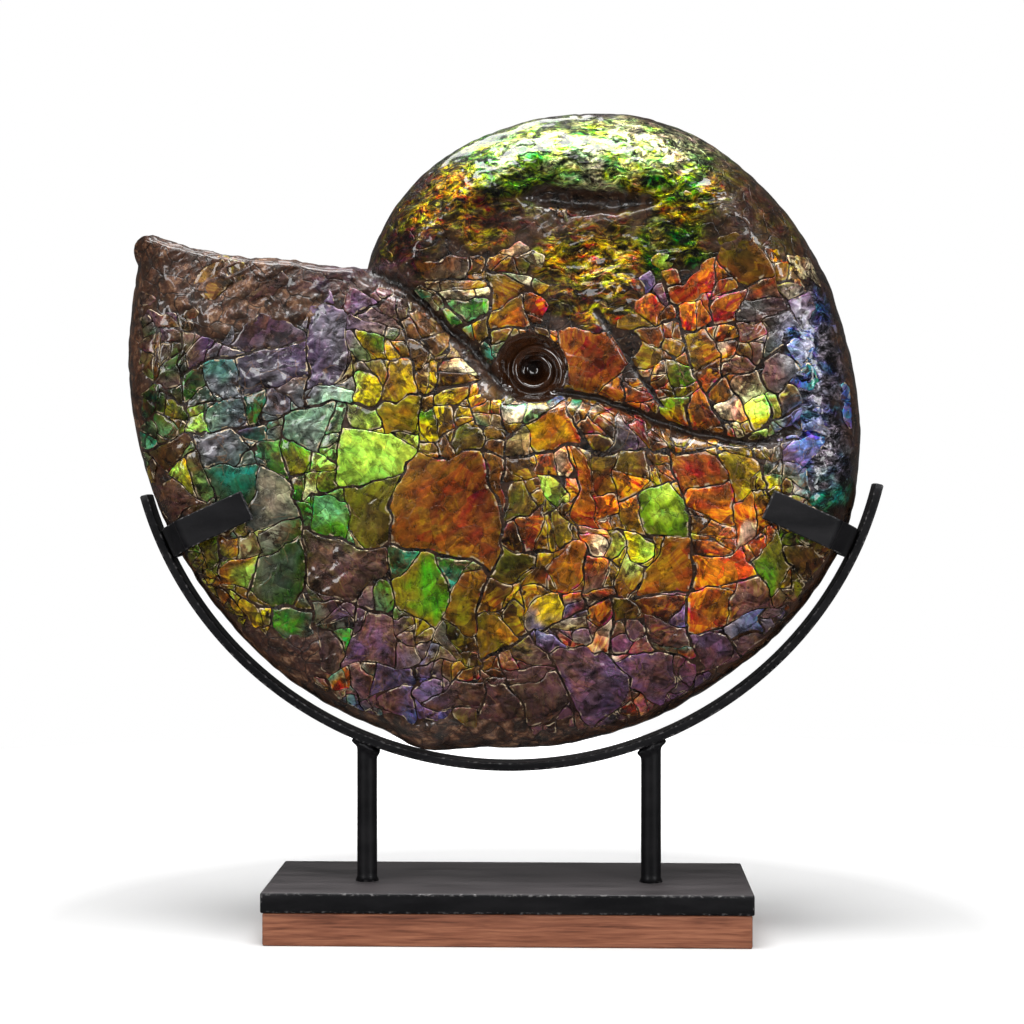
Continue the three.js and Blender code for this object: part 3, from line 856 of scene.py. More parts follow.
# some corners have broken off as small plates of their own
def breakCorners(corners, widths, inside):
    chips = []
    for _ in range(int(draw.integers(*cracking["brokenCorners"]))):
        i = int(draw.integers(len(corners)))
        here = corners[i]
        low, high = cracking["cornerShares"]
        start = here + (corners[i - 1] - here) * draw.uniform(low, high)
        way = here + (corners[(i + 1) % len(corners)] - here) * draw.uniform(low, high) - start
        way = way / max(np.hypot(*way), 1e-6)
        normal = np.array([-way[1], way[0]])
        if len(inside) and abs((inside[0, :2] - start) @ normal) < inside[0, 2] * 0.85:
            continue
        halves = splitPlate(corners, widths, start, way, cracking["narrowest"] + 0.3 * draw.random())
        if min(len(half[0]) for half in halves) < 3:
            continue
        halves.sort(key=lambda half: polygonArea(half[0]))
        chips.append((*halves[0], inside[:0]))
        corners, widths = halves[1]
    return [(corners, widths, inside), *chips]


def crackSkin(side, named, front, freeAreas):
    waiting = [(np.array(cracking["sheet"], float), [cracking["widest"]] * 4, named)]
    finished = []
    while waiting:
        corners, widths, inside = waiting.pop()
        size = polygonArea(corners)
        middle = polygonMiddle(corners)
        reach = np.hypot(*(corners - middle).T).max()
        spots = np.vstack([middle, corners])
        clear = freedom(spots[:, 0], spots[:, 1], side, front)
        if clear.max() < -2 - reach:
            continue
        onEdge = clear.min() < 0 and len(inside) == 0
        low, high = freeAreas
        limit = low + (high - low) * draw.random() ** 2
        if onEdge:
            limit = min(limit, cracking["edgeArea"])
        if len(inside) == 1:
            share, more = cracking["namedArea"]
            limit = share * math.pi * inside[0, 2] ** 2 + more
        if len(inside) < 2 and size < limit:
            if size > cracking["breakable"]:
                finished += breakCorners(corners, widths, inside)
            else:
                finished.append((corners, widths, inside))
            continue
        best, bestCost = None, 1e9
        tries, more = cracking["tries"]
        for _ in range(tries + more * len(inside) if len(inside) else 3):
            point, way = tryCrack(corners, middle, inside)
            cost, halves = crackCost(corners, widths, point, way, inside)
            if cost < bestCost:
                best, bestCost = (point, way), cost
        if best is None:
            finished.append((corners, widths, inside[:1]))
            continue
        point, way = best
        length = math.sqrt(size)
        width = cracking["narrowest"] + cracking["widening"] * length * draw.uniform(0.2, 1.8)
        width = min(width, cracking["widest"])
        normal = np.array([-way[1], way[0]])
        for sign, (half, halfWidths) in zip((1, -1), splitPlate(corners, widths, point, way, width)):
            belongs = ((inside[:, :2] - point) @ normal) * sign >= 0 if len(inside) else []
            waiting.append((half, halfWidths, inside[belongs] if len(inside) else inside))
    return finished


# a plate's outline, moved in from its sides by half of each crack
def plateOutline(corners, widths, middle, spacing):
    sides = np.roll(corners, -1, axis=0) - corners
    lengths = np.maximum(np.hypot(*sides.T), 1e-6)
    normals = np.column_stack([sides[:, 1], -sides[:, 0]]) / lengths[:, None]
    depth = ((corners - middle) * normals).sum(axis=1)
    normals = normals * np.sign(depth)[:, None]
    depth = np.abs(depth) - np.array(widths) / 2
    closed = np.vstack([corners, corners[:1]])
    count = int(np.clip(lengths.sum() / spacing, 14, 80))
    ring = evenly(closed, count, closed=True) - middle
    facing = ring @ normals.T
    share = np.where(facing > 1e-6, depth / np.maximum(facing, 1e-6), 1e3).min(axis=1)
    return ring * np.clip(share, 0, 1)[:, None]


# the spot in a plate where it lies free, with how free that is
def freeSpot(corners, middle, room, side, front):
    if room > 1.5:
        return middle, room
    spots = np.vstack([middle, middle + (corners - middle) * 0.35, middle + (corners - middle) * 0.6])
    rooms = freedom(*spots.T, side, front)
    return spots[rooms.argmax()], rooms.max()


# the outline drawn back to where the plate is free to lie
def drawBack(ring, middle, side, front):
    steps = np.linspace(0, 1, 22)
    px = middle[0] + ring[:, :1] * steps
    pz = middle[1] + ring[:, 1:] * steps
    free = freedom(px, pz, side, front)
    blocked = free < 0
    first = np.where(blocked.any(axis=1), blocked.argmax(axis=1), len(steps))
    rows = np.arange(len(ring))
    before = np.clip(first - 1, 0, len(steps) - 1)
    after = np.clip(first, 0, len(steps) - 1)
    a = free[rows, before]
    b = free[rows, after]
    part = np.where(first < len(steps), a / np.maximum(a - b, 1e-6), 0)
    share = steps[before] + part * (steps[1] - steps[0])
    share = np.where(first == 0, 0, np.clip(share, 0, 1))
    return ring * share[:, None]


plateMaking = {
    "spacing": (1.57, 2.1),  # between the points of an outline, on the front and on the back
    "skirt": 2.0,
    "insets": (0, 0.10, 0.32, 0.8),
    "drops": (0.32, 0.10, 0.0),
    "tilt": 0.05,
    "dome": 0.35,
    "lift": 0.16,
    "sunk": 0.35,  # how far the tops lie below the flank on average
    "ringGap": 4.2,
    "crumpledGap": 2.2,
    "tones": (0.6, 1.1),  # how dark and how light a plate may be
    "flow": (0.25, 0.6),  # how much colour a named plate and a plain one take from around them
    "streak": (9, 1.7),  # how long and how wide the streaks of its grain are
    "strays": ["amber", "olive", "bark", "rust", "bark", "forest"],
}

namedSpots = np.array([plate[:3] for plate in frontPlates], float)


# the colour that flows through a stretch of skin, whatever plates it has broken into
def flowingColour():
    x, z = np.meshgrid(gridX, gridZ)
    total = np.full(x.shape, 1e-6)
    flow = linear(palette["bark"])[:, None, None] * total
    for spotX, spotZ, size, first, second in frontPlates:
        far = ((x - spotX) ** 2 + (z - spotZ) ** 2) / (1.2 * size + 5) ** 2
        weight = np.exp(-far) * size
        turning = smooth(ripple(x, z, 16, 95), -0.6, 0.6)
        colour = blend(linear(palette[first])[:, None, None], linear(palette[second])[:, None, None], turning)
        total = total + weight
        flow = flow + colour * weight
    return flow / total


grids["red"], grids["green"], grids["blue"] = flowingColour()


# an unnamed plate takes its colours from the named ones around it
def coloursNear(x, z):
    gap = np.hypot(namedSpots[:, 0] - x, namedSpots[:, 1] - z) - namedSpots[:, 2] * 0.7
    nearest = np.argsort(gap)[:4]
    weights = np.exp(-np.maximum(gap[nearest], 0) / 9)
    first, second = draw.choice(nearest, 2, p=weights / weights.sum())
    a = frontPlates[first][3 + int(draw.random() < 0.35)]
    b = frontPlates[second][3 + int(draw.random() < 0.6)]
    if draw.random() < 0.3:
        b = draw.choice(plateMaking["strays"])
    return a, b


# the rings of points that make one plate: where they lie, how deep, and what they carry
def plateRings(ring, gap):
    radii = np.maximum(np.hypot(*ring.T), 0.01)
    inner = max(1, round(radii.mean() / gap))
    shares = [1 - np.minimum(inset / radii, 0.4 * inset) for inset in plateMaking["insets"]]
    drops = [plateMaking["skirt"], *plateMaking["drops"]]
    shares += [shares[-1] * (1 - k / (inner + 1)) for k in range(1, inner + 1)]
    drops += [0.0] * inner
    u = np.concatenate([*(ring[:, 0] * share for share in shares), [0]])
    v = np.concatenate([*(ring[:, 1] * share for share in shares), [0]])
    drop = np.concatenate([np.repeat(drops, len(ring)), [0]])
    mark = np.concatenate([*(1 - radii * (1 - share) / 1.5 for share in shares), [0]])
    inward = np.concatenate([*(radii * (1 - share) for share in shares), [radii.mean()]])
    return u, v, drop, np.clip(mark, 0, 1), inward, len(shares)


def ringFaces(first, count, rows, front):
    faces = [list(range(first, first + count))[::-1 if front else 1]]
    faces += [quad if front else quad[::-1] for quad in bandFaces(first, count, rows)]
    centre = first + rows * count
    a = centre - count
    for k in range(count):
        n = (k + 1) % count
        faces.append((a + k, a + n, centre) if front else (a + n, a + k, centre))
    return faces


# whether a plate's skin is crumpled: fully, nearly or hardly
def crumpling(colours, front):
    if "lavender" in colours:
        return 1.0
    return 0.75 if {"violet", "plum"} & set(colours) and front else 0.3


# what all the points of one plate share; a tone over 1 is lighter than the palette
def plateTraits(middle, span, wavy, colours, named):
    tilt = draw.normal(0, plateMaking["tilt"], 2)
    tilt = tilt * min(1, 0.8 / (np.abs(tilt).sum() + 0.01) / max(span, 1))
    tone = draw.uniform(*plateMaking["tones"]) * (1.25 if named else 1.0)
    return {
        "middle": middle,
        "span": span,
        "tilt": tilt,
        "lift": draw.normal(0, plateMaking["lift"]),
        "wavy": wavy,
        "first": linear(palette[colours[0]]) * tone,
        "second": linear(palette[colours[1]]) * tone,
        "turn": draw.uniform(0, 2 * math.pi),
        "grainTurn": draw.uniform(0, math.pi),
        "grainStart": draw.uniform(0, 500, 3),
        "tone": tone,
        "flow": plateMaking["flow"][0 if named else 1],
        "calm": np.clip((span - 6) / 9, 0, 1) * (wavy < 0.5) * (1.0 if named else 0.5),
    }


# how high the tops of the plates stand over the shell's middle plane
def plateHeight(x, z, u, v, drop, trait, front):
    wavy = trait["wavy"]
    tiltX, tiltZ = trait["tilt"].T
    dome = plateMaking["dome"] * (1 - (np.hypot(u, v) / trait["span"]) ** 2).clip(-1.5, 1)
    folds = wavy * (0.6 * ripple(x + z * 0.5, z, 7, 61) + 0.4 * crease(x * 0.8 - z * 0.5, z * 1.6, 5, 62))
    folds = folds + (wavy > 0.7) * 0.7 * crease(x * 0.5 + z * 0.4, z * 0.9 - x * 0.7, 8, 64) * wavy
    folds = folds + 0.12 * ripple(x, z, 3, 63)
    tops = flank(x, z, front) - drop + dome + tiltX * u + tiltZ * v
    return tops + folds + trait["lift"] - plateMaking["sunk"]


# each plate runs from one colour to the other, darker round its edge, with the colour that flows by
def plateTint(x, z, u, v, inward, trait, front):
    turn = trait["turn"]
    share = 0.42 + 0.55 * (u * np.cos(turn) + v * np.sin(turn)) / trait["span"]
    band = (1 - smooth(inward, 2.5, 5.5)) * smooth(trait["span"], 9, 14)
    share = smooth(share + 0.4 * ripple(x, z, 7, 41) + 0.5 * band, 0, 1)
    tint = blend(trait["first"], trait["second"], share[:, None]) * (1 - 0.3 * band[:, None])
    if front:
        flow = np.column_stack([at(key, x, z) for key in ("red", "green", "blue")])
        tint = blend(tint, flow * trait["tone"][:, None], trait["flow"][:, None])
        # painted shade: the plates grow darker towards the open end
        tint = tint * (1 - 0.24 * smooth(-x, 90, 190))[:, None]  # duller towards the open end
    return tint * (1 + 0.3 * ripple(x, z, 38, 97) + 0.15 * ripple(x, z, 15, 98))[:, None]


# where the streaks of a plate's own grain are looked up
def plateGrain(u, v, trait):
    turn = trait["grainTurn"]
    long, wide = plateMaking["streak"]
    along = (u * np.cos(turn) + v * np.sin(turn)) / long
    across = (-u * np.sin(turn) + v * np.cos(turn)) / wide
    return np.column_stack([along, across, 0 * u]) + trait["grainStart"]


def buildPlates(name, pieces, side, front, bareLimit):
    middles = np.array([polygonMiddle(corners) for corners, _, _ in pieces])
    _, foil, crust = skinFields(*wander(*middles.T), front)
    free = freedom(*middles.T, side, front)
    faces = []
    parts = []
    traits = []
    counts = []
    for (corners, widths, inside), middle, bare, room in zip(pieces, middles, foil + crust, free):
        named = len(inside) and front
        middle, room = freeSpot(corners, middle, room, side, front)
        if room < 0.3 or (bare > bareLimit and not named):
            continue
        ring = plateOutline(corners, widths, middle, plateMaking["spacing"][0 if front else 1])
        ring = drawBack(ring, middle, side, front)
        if np.percentile(np.hypot(*ring.T), 20) < 1.1 or polygonArea(ring) < 8:
            continue
        if named:
            colours = frontPlates[int(inside[0, 3])][3:]
        else:
            colours = coloursNear(*wander(*middle)) if front else backColours(*middle)
        wavy = crumpling(colours, front)
        gap = plateMaking["crumpledGap" if wavy > 0.7 and front else "ringGap"]
        *rings, rows = plateRings(ring, gap)
        faces += ringFaces(sum(counts), len(ring), rows, front)
        parts.append(rings)
        counts.append(len(rings[0]))
        traits.append(plateTraits(middle, np.hypot(*ring.T).mean(), wavy, colours, named))

    u, v, drop, mark, inward = (np.concatenate(values) for values in zip(*parts))
    trait = {key: np.repeat(np.array([one[key] for one in traits]), counts, axis=0) for key in traits[0]}
    x, z = wander(trait["middle"][:, 0] + u, trait["middle"][:, 1] + v)
    height = plateHeight(x, z, u, v, drop, trait, front)
    y = shell["midY"] + (-height if front else height)
    low, high = (corner.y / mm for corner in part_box("ammonite"))
    places = np.column_stack([x, np.clip(y, low + 0.02, high - 0.02), z])
    floats = {"edge": mark, "wrinkle": trait["wavy"], "calm": trait["calm"]}
    piece = makePiece(name, places, faces, floats, {"tint": plateTint(x, z, u, v, inward, trait, front)})
    layer = piece.data.attributes.new("grain", "FLOAT_VECTOR", "POINT")
    layer.data.foreach_set("vector", plateGrain(u, v, trait).astype(np.float32).ravel())
    triangles = sum(len(face) - 2 for face in faces)
    print(name + ":", len(counts), "plates,", triangles, "triangles")
    return piece


# the back's colours, zone by zone
back = {
    "zones": [
        ("maroon", "bark"), ("rust", "amber"), ("bark", "maroon"), ("amber", "olive"), ("olive", "bark"),
        ("forest", "olive"), ("green", "gold"), ("slate", "forest"), ("plum", "bark"), ("violet", "plum"),
        ("crust", "rust"),
    ],
    "zoneSize": 75,
    "freeAreas": (120, 1300),
}


def backColours(x, z):
    place = 0.5 + 0.7 * ripple(np.array([x]), np.array([z]), back["zoneSize"], 81)[0]
    zone = int(np.clip(place, 0, 0.999) * len(back["zones"])) + int(draw.random() < 0.3)
    return draw.permutation(back["zones"][zone % len(back["zones"])])


# the named plates on one side of the seam, as they lie in the straight layout
def sidePlates(side):
    seam = at("seam", namedSpots[:, 0], namedSpots[:, 1]) * side
    pastSeam = namedSpots[:, 0] > shell["seamEnd"][0]
    mine = np.where(pastSeam, (namedSpots[:, 1] < shell["seamEnd"][1]) == (side < 0), seam > 0)
    x, z = straighten(namedSpots[:, 0], namedSpots[:, 1])
    return np.column_stack([x, z, namedSpots[:, 2], np.arange(len(namedSpots))])[mine]


noPlates = np.zeros((0, 4))
bodySkin = crackSkin(-1, sidePlates(-1), True, cracking["freeAreas"])
olderSkin = crackSkin(1, sidePlates(1), True, cracking["freeAreas"])
bodyPlates = buildPlates("bodyPlates", bodySkin, -1, True, 0.36)
olderPlates = buildPlates("olderPlates", olderSkin, 1, True, 0.36)
backBodySkin = crackSkin(-1, noPlates, False, back["freeAreas"])
backBodyPlates = buildPlates("backBodyPlates", backBodySkin, -1, False, 0.5)
backOlderSkin = crackSkin(1, noPlates, False, back["freeAreas"])
backOlderPlates = buildPlates("backOlderPlates", backOlderSkin, 1, False, 0.5)

# the coil of the first turns, deep in the eye
coil = {
    "middle": (17.4, 356),
    "start": -35,
    "turns": 1.65,
    "outer": 17.6,
    "inner": 7.6,
    "flat": 0.95,  # its height as a share of its width
    "tube": (3.4, 1.9),
    "steps": 190,
    "sides": 24,
    "sink": 0.35,  # share of the tube that lies in the floor of the eye
    "tip": 0.35,  # how far the tube narrows in its last step
}


# the faces of a closed tube: rings of count points, one after the other
def tubeFaces(rings, count):
    faces = bandFaces(0, count, rings)
    faces.append(list(range(count))[::-1])
    faces.append([(rings - 1) * count + k for k in range(count)])
    return faces


def buildCoil():
    sides = coil["sides"]
    share = np.linspace(0, 1, coil["steps"] + 1)
    angle = math.radians(coil["start"]) + share * coil["turns"] * 2 * math.pi
    radius = coil["outer"] * (coil["inner"] / coil["outer"]) ** share
    tube = blend(*coil["tube"], share**0.8) * smooth(share, -0.05, 0.12)
    x = coil["middle"][0] + radius * np.cos(angle)
    z = coil["middle"][1] + radius * coil["flat"] * np.sin(angle)
    depth = flank(x, z, True)
    floor = np.convolve(np.pad(depth, 12, mode="edge"), np.ones(25) / 25, "valid")
    path = np.column_stack([x, shell["midY"] - floor + tube * coil["sink"], z])
    way = unit(np.gradient(path, axis=0))
    across = unit(np.cross([0.0, 1.0, 0.0], way))
    rise = np.cross(across, way)
    tube[[0, -1]] *= coil["tip"]
    turn = np.arange(sides)[:, None] / sides * 2 * math.pi
    rings = [path[i] + (np.cos(turn) * across[i] + np.sin(turn) * rise[i]) * tube[i]
             for i in range(len(path))]
    count = len(path) * sides
    nothing = np.zeros(count)
    # painted shade: the coil darkens as it winds deeper into the eye
    shade = np.repeat(0.1 + 0.75 * smooth(share, 0.35, 1), sides)
    floats = {"foil": nothing, "crust": nothing, "hollowShade": shade, "polish": nothing + 1}
    tint = np.tile(linear(palette["bark"]) * 0.5, (count, 1))
    return makePiece("innerCoil", np.vstack(rings), tubeFaces(len(path), sides), floats, {"tint": tint})


innerCoil = buildCoil()
print("coil of the first turns:", len(innerCoil.data.polygons), "faces")

# the steel cradle: a bar on edge along half an ellipse, and two claws
cradle = {
    "halfWidth": 242.2,
    "halfHeight": 234.3,
    "centreZ": 338.5,
    "leftEnd": 195,
    "rightEnd": 346.8,
    "thickness": 5.4,
    "depth": 19,
    "edge": 0.9,
    "steps": 150,
}
claws = {
    "left": 203.6,
    "right": 336.6,
    "width": 19,
    "thickness": 2.8,
    "edge": 0.6,
    "gap": 0.72,  # to the bar
    "tab": 47,
    "splay": 15,
    "bend": 6,
    "steps": 120,
}


def cradleNormal(angle):
    turn = math.radians(angle)
    normal = np.array([-math.cos(turn) / cradle["halfWidth"], -math.sin(turn) / cradle["halfHeight"]])
    return normal / np.hypot(*normal)


def cradlePoint(angle, inset):
    turn = math.radians(angle)
    inward = cradleNormal(angle)
    x = cradle["halfWidth"] * math.cos(turn) + inward[0] * inset
    z = cradle["centreZ"] + cradle["halfHeight"] * math.sin(turn) + inward[1] * inset
    return np.array([x, z])


# the outline of a flat bar with rounded edges; the third number marks worn edges, which also carry painted
# edge highlights
def barSection(width, thickness, edge, steps=4):
    points = []
    for cornerIndex, (sx, sy) in enumerate(((1, 1), (-1, 1), (-1, -1), (1, -1))):
        for k in range(steps + 1):
            angle = math.pi / 2 * (cornerIndex + k / steps)
            x = sx * (width / 2 - edge) + edge * math.cos(angle)
            y = sy * (thickness / 2 - edge) + edge * math.sin(angle)
            points.append((x, y, 1.0))
        lastX, lastY = points[-1][:2]
        if cornerIndex % 2 == 0:
            step = -math.copysign(0.5, sx)
            points += [(lastX + step, lastY, 0.0), (-lastX - step, lastY, 0.0)]
        else:
            step = -math.copysign(min(1.2, 0.7 * (thickness / 2 - edge)), sy)
            points += [(lastX, lastY + step, 0.0), (lastX, -lastY - step, 0.0)]
    return np.array(points)


# a section carried along a path, with rounded ends; sideways and up are its directions at each step
def sweep(name, path, sideways, up, section, endRadius=0.8):
    loop = section[:, :2]
    reach = np.abs(loop).max(axis=0)
    way = unit(np.gradient(path, axis=0))
    body = path.copy()
    body[0] = path[0] + way[0] * endRadius
    body[-1] = path[-1] - way[-1] * endRadius
    endLoop = loop * ((reach - endRadius) / reach)
    rows = [(path[0], 0, endLoop), *((spot, i, loop) for i, spot in enumerate(body)), (path[-1], -1, endLoop)]
    places = [spot + shape[:, :1] * sideways[i] + shape[:, 1:] * up[i] for spot, i, shape in rows]
    wearAndEdgeGlint = np.tile(section[:, 2], (len(rows), 1))
    wearAndEdgeGlint[[0, 1, -2, -1]] = 1
    return makePiece(name, np.vstack(places), tubeFaces(len(rows), len(section)), {"wearAndEdgeGlint": wearAndEdgeGlint.ravel()})


def buildBar():
    angles = np.linspace(cradle["leftEnd"], cradle["rightEnd"], cradle["steps"] + 1)
    middle = [cradlePoint(angle, cradle["thickness"] / 2) for angle in angles]
    path = np.array([(x, shell["midY"], z) for x, z in middle])
    up = np.array([(cradleNormal(angle)[0], 0, cradleNormal(angle)[1]) for angle in angles])
    sideways = np.tile([0.0, 1.0, 0.0], (len(path), 1))
    section = barSection(cradle["depth"], cradle["thickness"], cradle["edge"])
    return sweep("cradleBar", path, sideways, up, section)


# half of a claw seen from above: how far in from the bar, and how far to the front or back
def clawHalf(depth, sign):
    half = claws["thickness"] / 2
    splay = claws["splay"]
    bend = claws["bend"]
    return [(half, sign * 5), (0.3 * splay + half, sign * 0.55 * depth),
            (splay + 0.5 * half, sign * (depth - bend)),
            (splay + 1.6, sign * (depth - 1.6)), (splay + bend, sign * depth),
            (splay + 2 * bend, sign * depth), (splay + claws["tab"], sign * depth)]


# a strip bent round the shell's edge, from the tip of one tab to the tip of the other
def buildClaw(name, node, angle):
    low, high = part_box(node)
    half = claws["thickness"] / 2
    reach = shell["midY"] - low.y / mm - half
    behind = high.y / mm - shell["midY"] - half
    base = cradlePoint(angle, cradle["thickness"] + claws["gap"])
    normal = cradleNormal(angle)
    control = np.array(clawHalf(reach, -1)[::-1] + [(half, 0)] + clawHalf(behind, 1))
    flat = evenly(splineThrough(control, 160), claws["steps"])
    way = np.gradient(flat, axis=0)
    way = way / np.hypot(*way.T)[:, None]
    path = np.array([(base[0] + normal[0] * u, shell["midY"] + v, base[1] + normal[1] * u)
                     for u, v in flat])
    up = np.array([(-dv * normal[0], du, -dv * normal[1]) for du, dv in way])
    across = np.tile([-normal[1], 0.0, normal[0]], (len(path), 1))
    section = barSection(claws["width"], claws["thickness"], claws["edge"])
    return sweep(name, path, across, up, section)


cradleBar = buildBar()
clawLeft = buildClaw("clawLeft", "claw_left", claws["left"])
clawRight = buildClaw("clawRight", "claw_right", claws["right"])

posts = {
    "diameter": 12.7,
    "halfSpacing": 90.3,
    "footZ": 33.2,
    "clear": 0.35,  # between a post and the bar's ellipse
    "bead": 3.6,
    "foot": 1.1,
    "rows": 60,
    "sides": 64,
}


# the height of the bar's underside over a place along the stand
def barUnderside(x):
    share = np.clip(x / cradle["halfWidth"], -1, 1)
    return cradle["centreZ"] - cradle["halfHeight"] * np.sqrt(1 - share**2) - posts["clear"]


# a round post whose weld bulges under the bar; its rows are closer together at the weld
def buildPost(name, side):
    radius = posts["diameter"] / 2
    angles = np.arange(posts["sides"]) / posts["sides"] * 2 * math.pi
    centreX = side * posts["halfSpacing"]
    lumps = 0.62 + 0.38 * np.sin(angles * 5 + side * 2) * np.sin(angles * 2 + 1)
    top = barUnderside(centreX + (radius + 3) * np.cos(angles))
    rings = []
    for row in range(posts["rows"] + 1):
        share = 1 - (1 - row / posts["rows"]) ** 2
        z = posts["footZ"] + (top - posts["footZ"]) * share
        bulge = posts["bead"] * lumps * bell(top - z - 2.2, 2.6)
        foot = posts["foot"] * bell(z - posts["footZ"], 0.8)
        around = radius + bulge + foot
        rings.append(np.column_stack([centreX + around * np.cos(angles),
                                      shell["midY"] + around * np.sin(angles), z]))
    places = np.vstack(rings)
    wearAndEdgeGlint = bell(places[:, 2] - posts["footZ"], 0.9)
    return makePiece(name, places, tubeFaces(len(rings), posts["sides"]), {"wearAndEdgeGlint": wearAndEdgeGlint})


postLeft = buildPost("postLeft", -1)
postRight = buildPost("postRight", 1)

blocks = {"plateEdge": 1.2, "plateMargin": 1.5, "boardEdge": 1.3, "boardMargin": 2.0}


# a block with rounded edges that fills a node's box; its edges are marked for wear and painted edge
# highlights
def roundedBlock(name, node, edge, margin):
    low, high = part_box(node)
    bm = bmesh.new()
    bmesh.ops.create_cube(bm, size=1)
    size = high - low
    for vert in bm.verts:
        vert.co = Vector([a * b for a, b in zip(vert.co, size)]) + (low + high) / 2
    bmesh.ops.bevel(bm, geom=bm.edges[:], offset=edge * mm, segments=4, affect="EDGES", profile=0.5)
    flatSides = [face for face in bm.faces if face.calc_area() > 9e-4]  # square metres
    outside = set(bm.verts)
    bmesh.ops.inset_individual(bm, faces=flatSides, thickness=margin * mm, use_even_offset=True)
    mesh = bpy.data.meshes.new(name)
    marks = [1.0 if vert in outside else 0.0 for vert in bm.verts]
    bm.to_mesh(mesh)
    bm.free()
    return addPiece(name, mesh, {"wearAndEdgeGlint": marks})


basePlate = roundedBlock("basePlate", "base_plate", blocks["plateEdge"], blocks["plateMargin"])
woodPlinth = roundedBlock("woodPlinth", "wood_plinth", blocks["boardEdge"], blocks["boardMargin"])
print("stand: bar, claws, posts, plate and plinth")

# the finishes, built from nodes; add makes a node, into sets or links a socket of the shader
def startMaterial(name):
    material = bpy.data.materials.new(name)
    material.use_nodes = True
    tree = material.node_tree
    shader = tree.nodes["Principled BSDF"]

    def put(node, key, value):
        if isinstance(value, bpy.types.NodeSocket):
            tree.links.new(value, node.inputs[key])
        else:
            node.inputs[key].default_value = value

    def add(kind, sockets=None, **settings):
        made = tree.nodes.new("ShaderNode" + kind)
        for key, value in settings.items():
            setattr(made, key, value)
        for key, value in (sockets or {}).items():
            put(made, key, value)
        return made

    def into(key, value):
        put(shader, key, value)

    return material, add, into


# a colour for a socket, from a colour as seen
def paint(colour, strength=1.0):
    return tuple(linear(colour) * strength) + (1,)


def attributeOf(add, name, output="Fac"):
    return add("Attribute", attribute_name=name).outputs[output]


def noise(add, place, scale, detail=2.0, roughness=0.5, distortion=0.0, output="Fac"):
    sockets = {"Vector": place, "Scale": scale, "Detail": detail, "Roughness": roughness,
               "Distortion": distortion}
    return add("TexNoise", sockets).outputs[output]


# how far a place is from the nearest crack of a net of cells
def cracks(add, place, scale):
    cells = add("TexVoronoi", {"Vector": place, "Scale": scale}, feature="DISTANCE_TO_EDGE")
    return cells.outputs["Distance"]


def calc(add, operation, a, b):
    return add("Math", {0: a, 1: b}, operation=operation).outputs[0]


def times(add, first, *others):
    for other in others:
        first = calc(add, "MULTIPLY", first, other)
    return first


def plus(add, first, *others):
    for other in others:
        first = calc(add, "ADD", first, other)
    return first


def fromTo(add, value, low, high, toLow=0.0, toHigh=1.0):
    return add("MapRange", {"Value": value, "From Min": low, "From Max": high,
                            "To Min": toLow, "To Max": toHigh}).outputs[0]


def mixColours(add, share, first, second):
    mix = add("Mix", data_type="RGBA")
    sockets = [socket for socket in mix.inputs if socket.enabled]
    for socket, value in zip(sockets, (share, first, second)):
        if isinstance(value, bpy.types.NodeSocket):
            mix.id_data.links.new(value, socket)
        else:
            socket.default_value = value
    return [socket for socket in mix.outputs if socket.enabled][0]


def shifted(add, hue, saturation, value, colour):
    return add("HueSaturation", {"Hue": hue, "Saturation": saturation, "Value": value,
                                 "Color": colour}).outputs[0]


# a run of colours as seen, each with its place from 0 to 1
def ramp(add, value, stops):
    node = add("ValToRGB", {"Fac": value})
    elements = node.color_ramp.elements
    elements.remove(elements[-1])
    for index, (place, colour) in enumerate(stops):
        element = elements[0] if index == 0 else elements.new(place)
        element.position = place
        element.color = paint(colour)
    return node.outputs[0]


def stretch(add, vector, scale):
    return add("Mapping", {"Vector": vector, "Scale": scale}).outputs[0]


# places bent a little by a noise, so that straight cells and strokes look natural
def bentPlace(add, place, scale, detail, amount):
    bend = noise(add, place, scale, detail, output="Color")
    bent = add("VectorMath", {0: bend, 1: (amount,) * 3}, operation="MULTIPLY").outputs[0]
    return add("VectorMath", {0: place, 1: bent}, operation="ADD").outputs[0]


def roughen(add, into, heights, strength, distance):
    into("Normal", add("Bump", {"Height": heights, "Strength": strength, "Distance": distance}).outputs[0])


plateFinish = {
    "metallic": 0.5,
    "roughness": (0.18, 0.44),
    "coatRoughness": 0.05,
    "patchSize": 0.0085,  # metres from here on
    "grainSize": 0.0016,
    "dustSize": 0.0032,
    "foldSize": 0.0105,
    "facetSize": 0.0105,
    "thinSize": 0.016,
    "netWidth": 0.016,
    "stone": (0.36, 0.22, 0.10),  # colours as seen from here on
    "stain": (0.22, 0.13, 0.07),
    # pale chips of broken nacre, which also paint glints
    "chipGlint": (0.80, 0.74, 0.62),
    # a painted highlight along the plates' edges
    "paintedHighlightColour": (0.78, 0.68, 0.54),
}


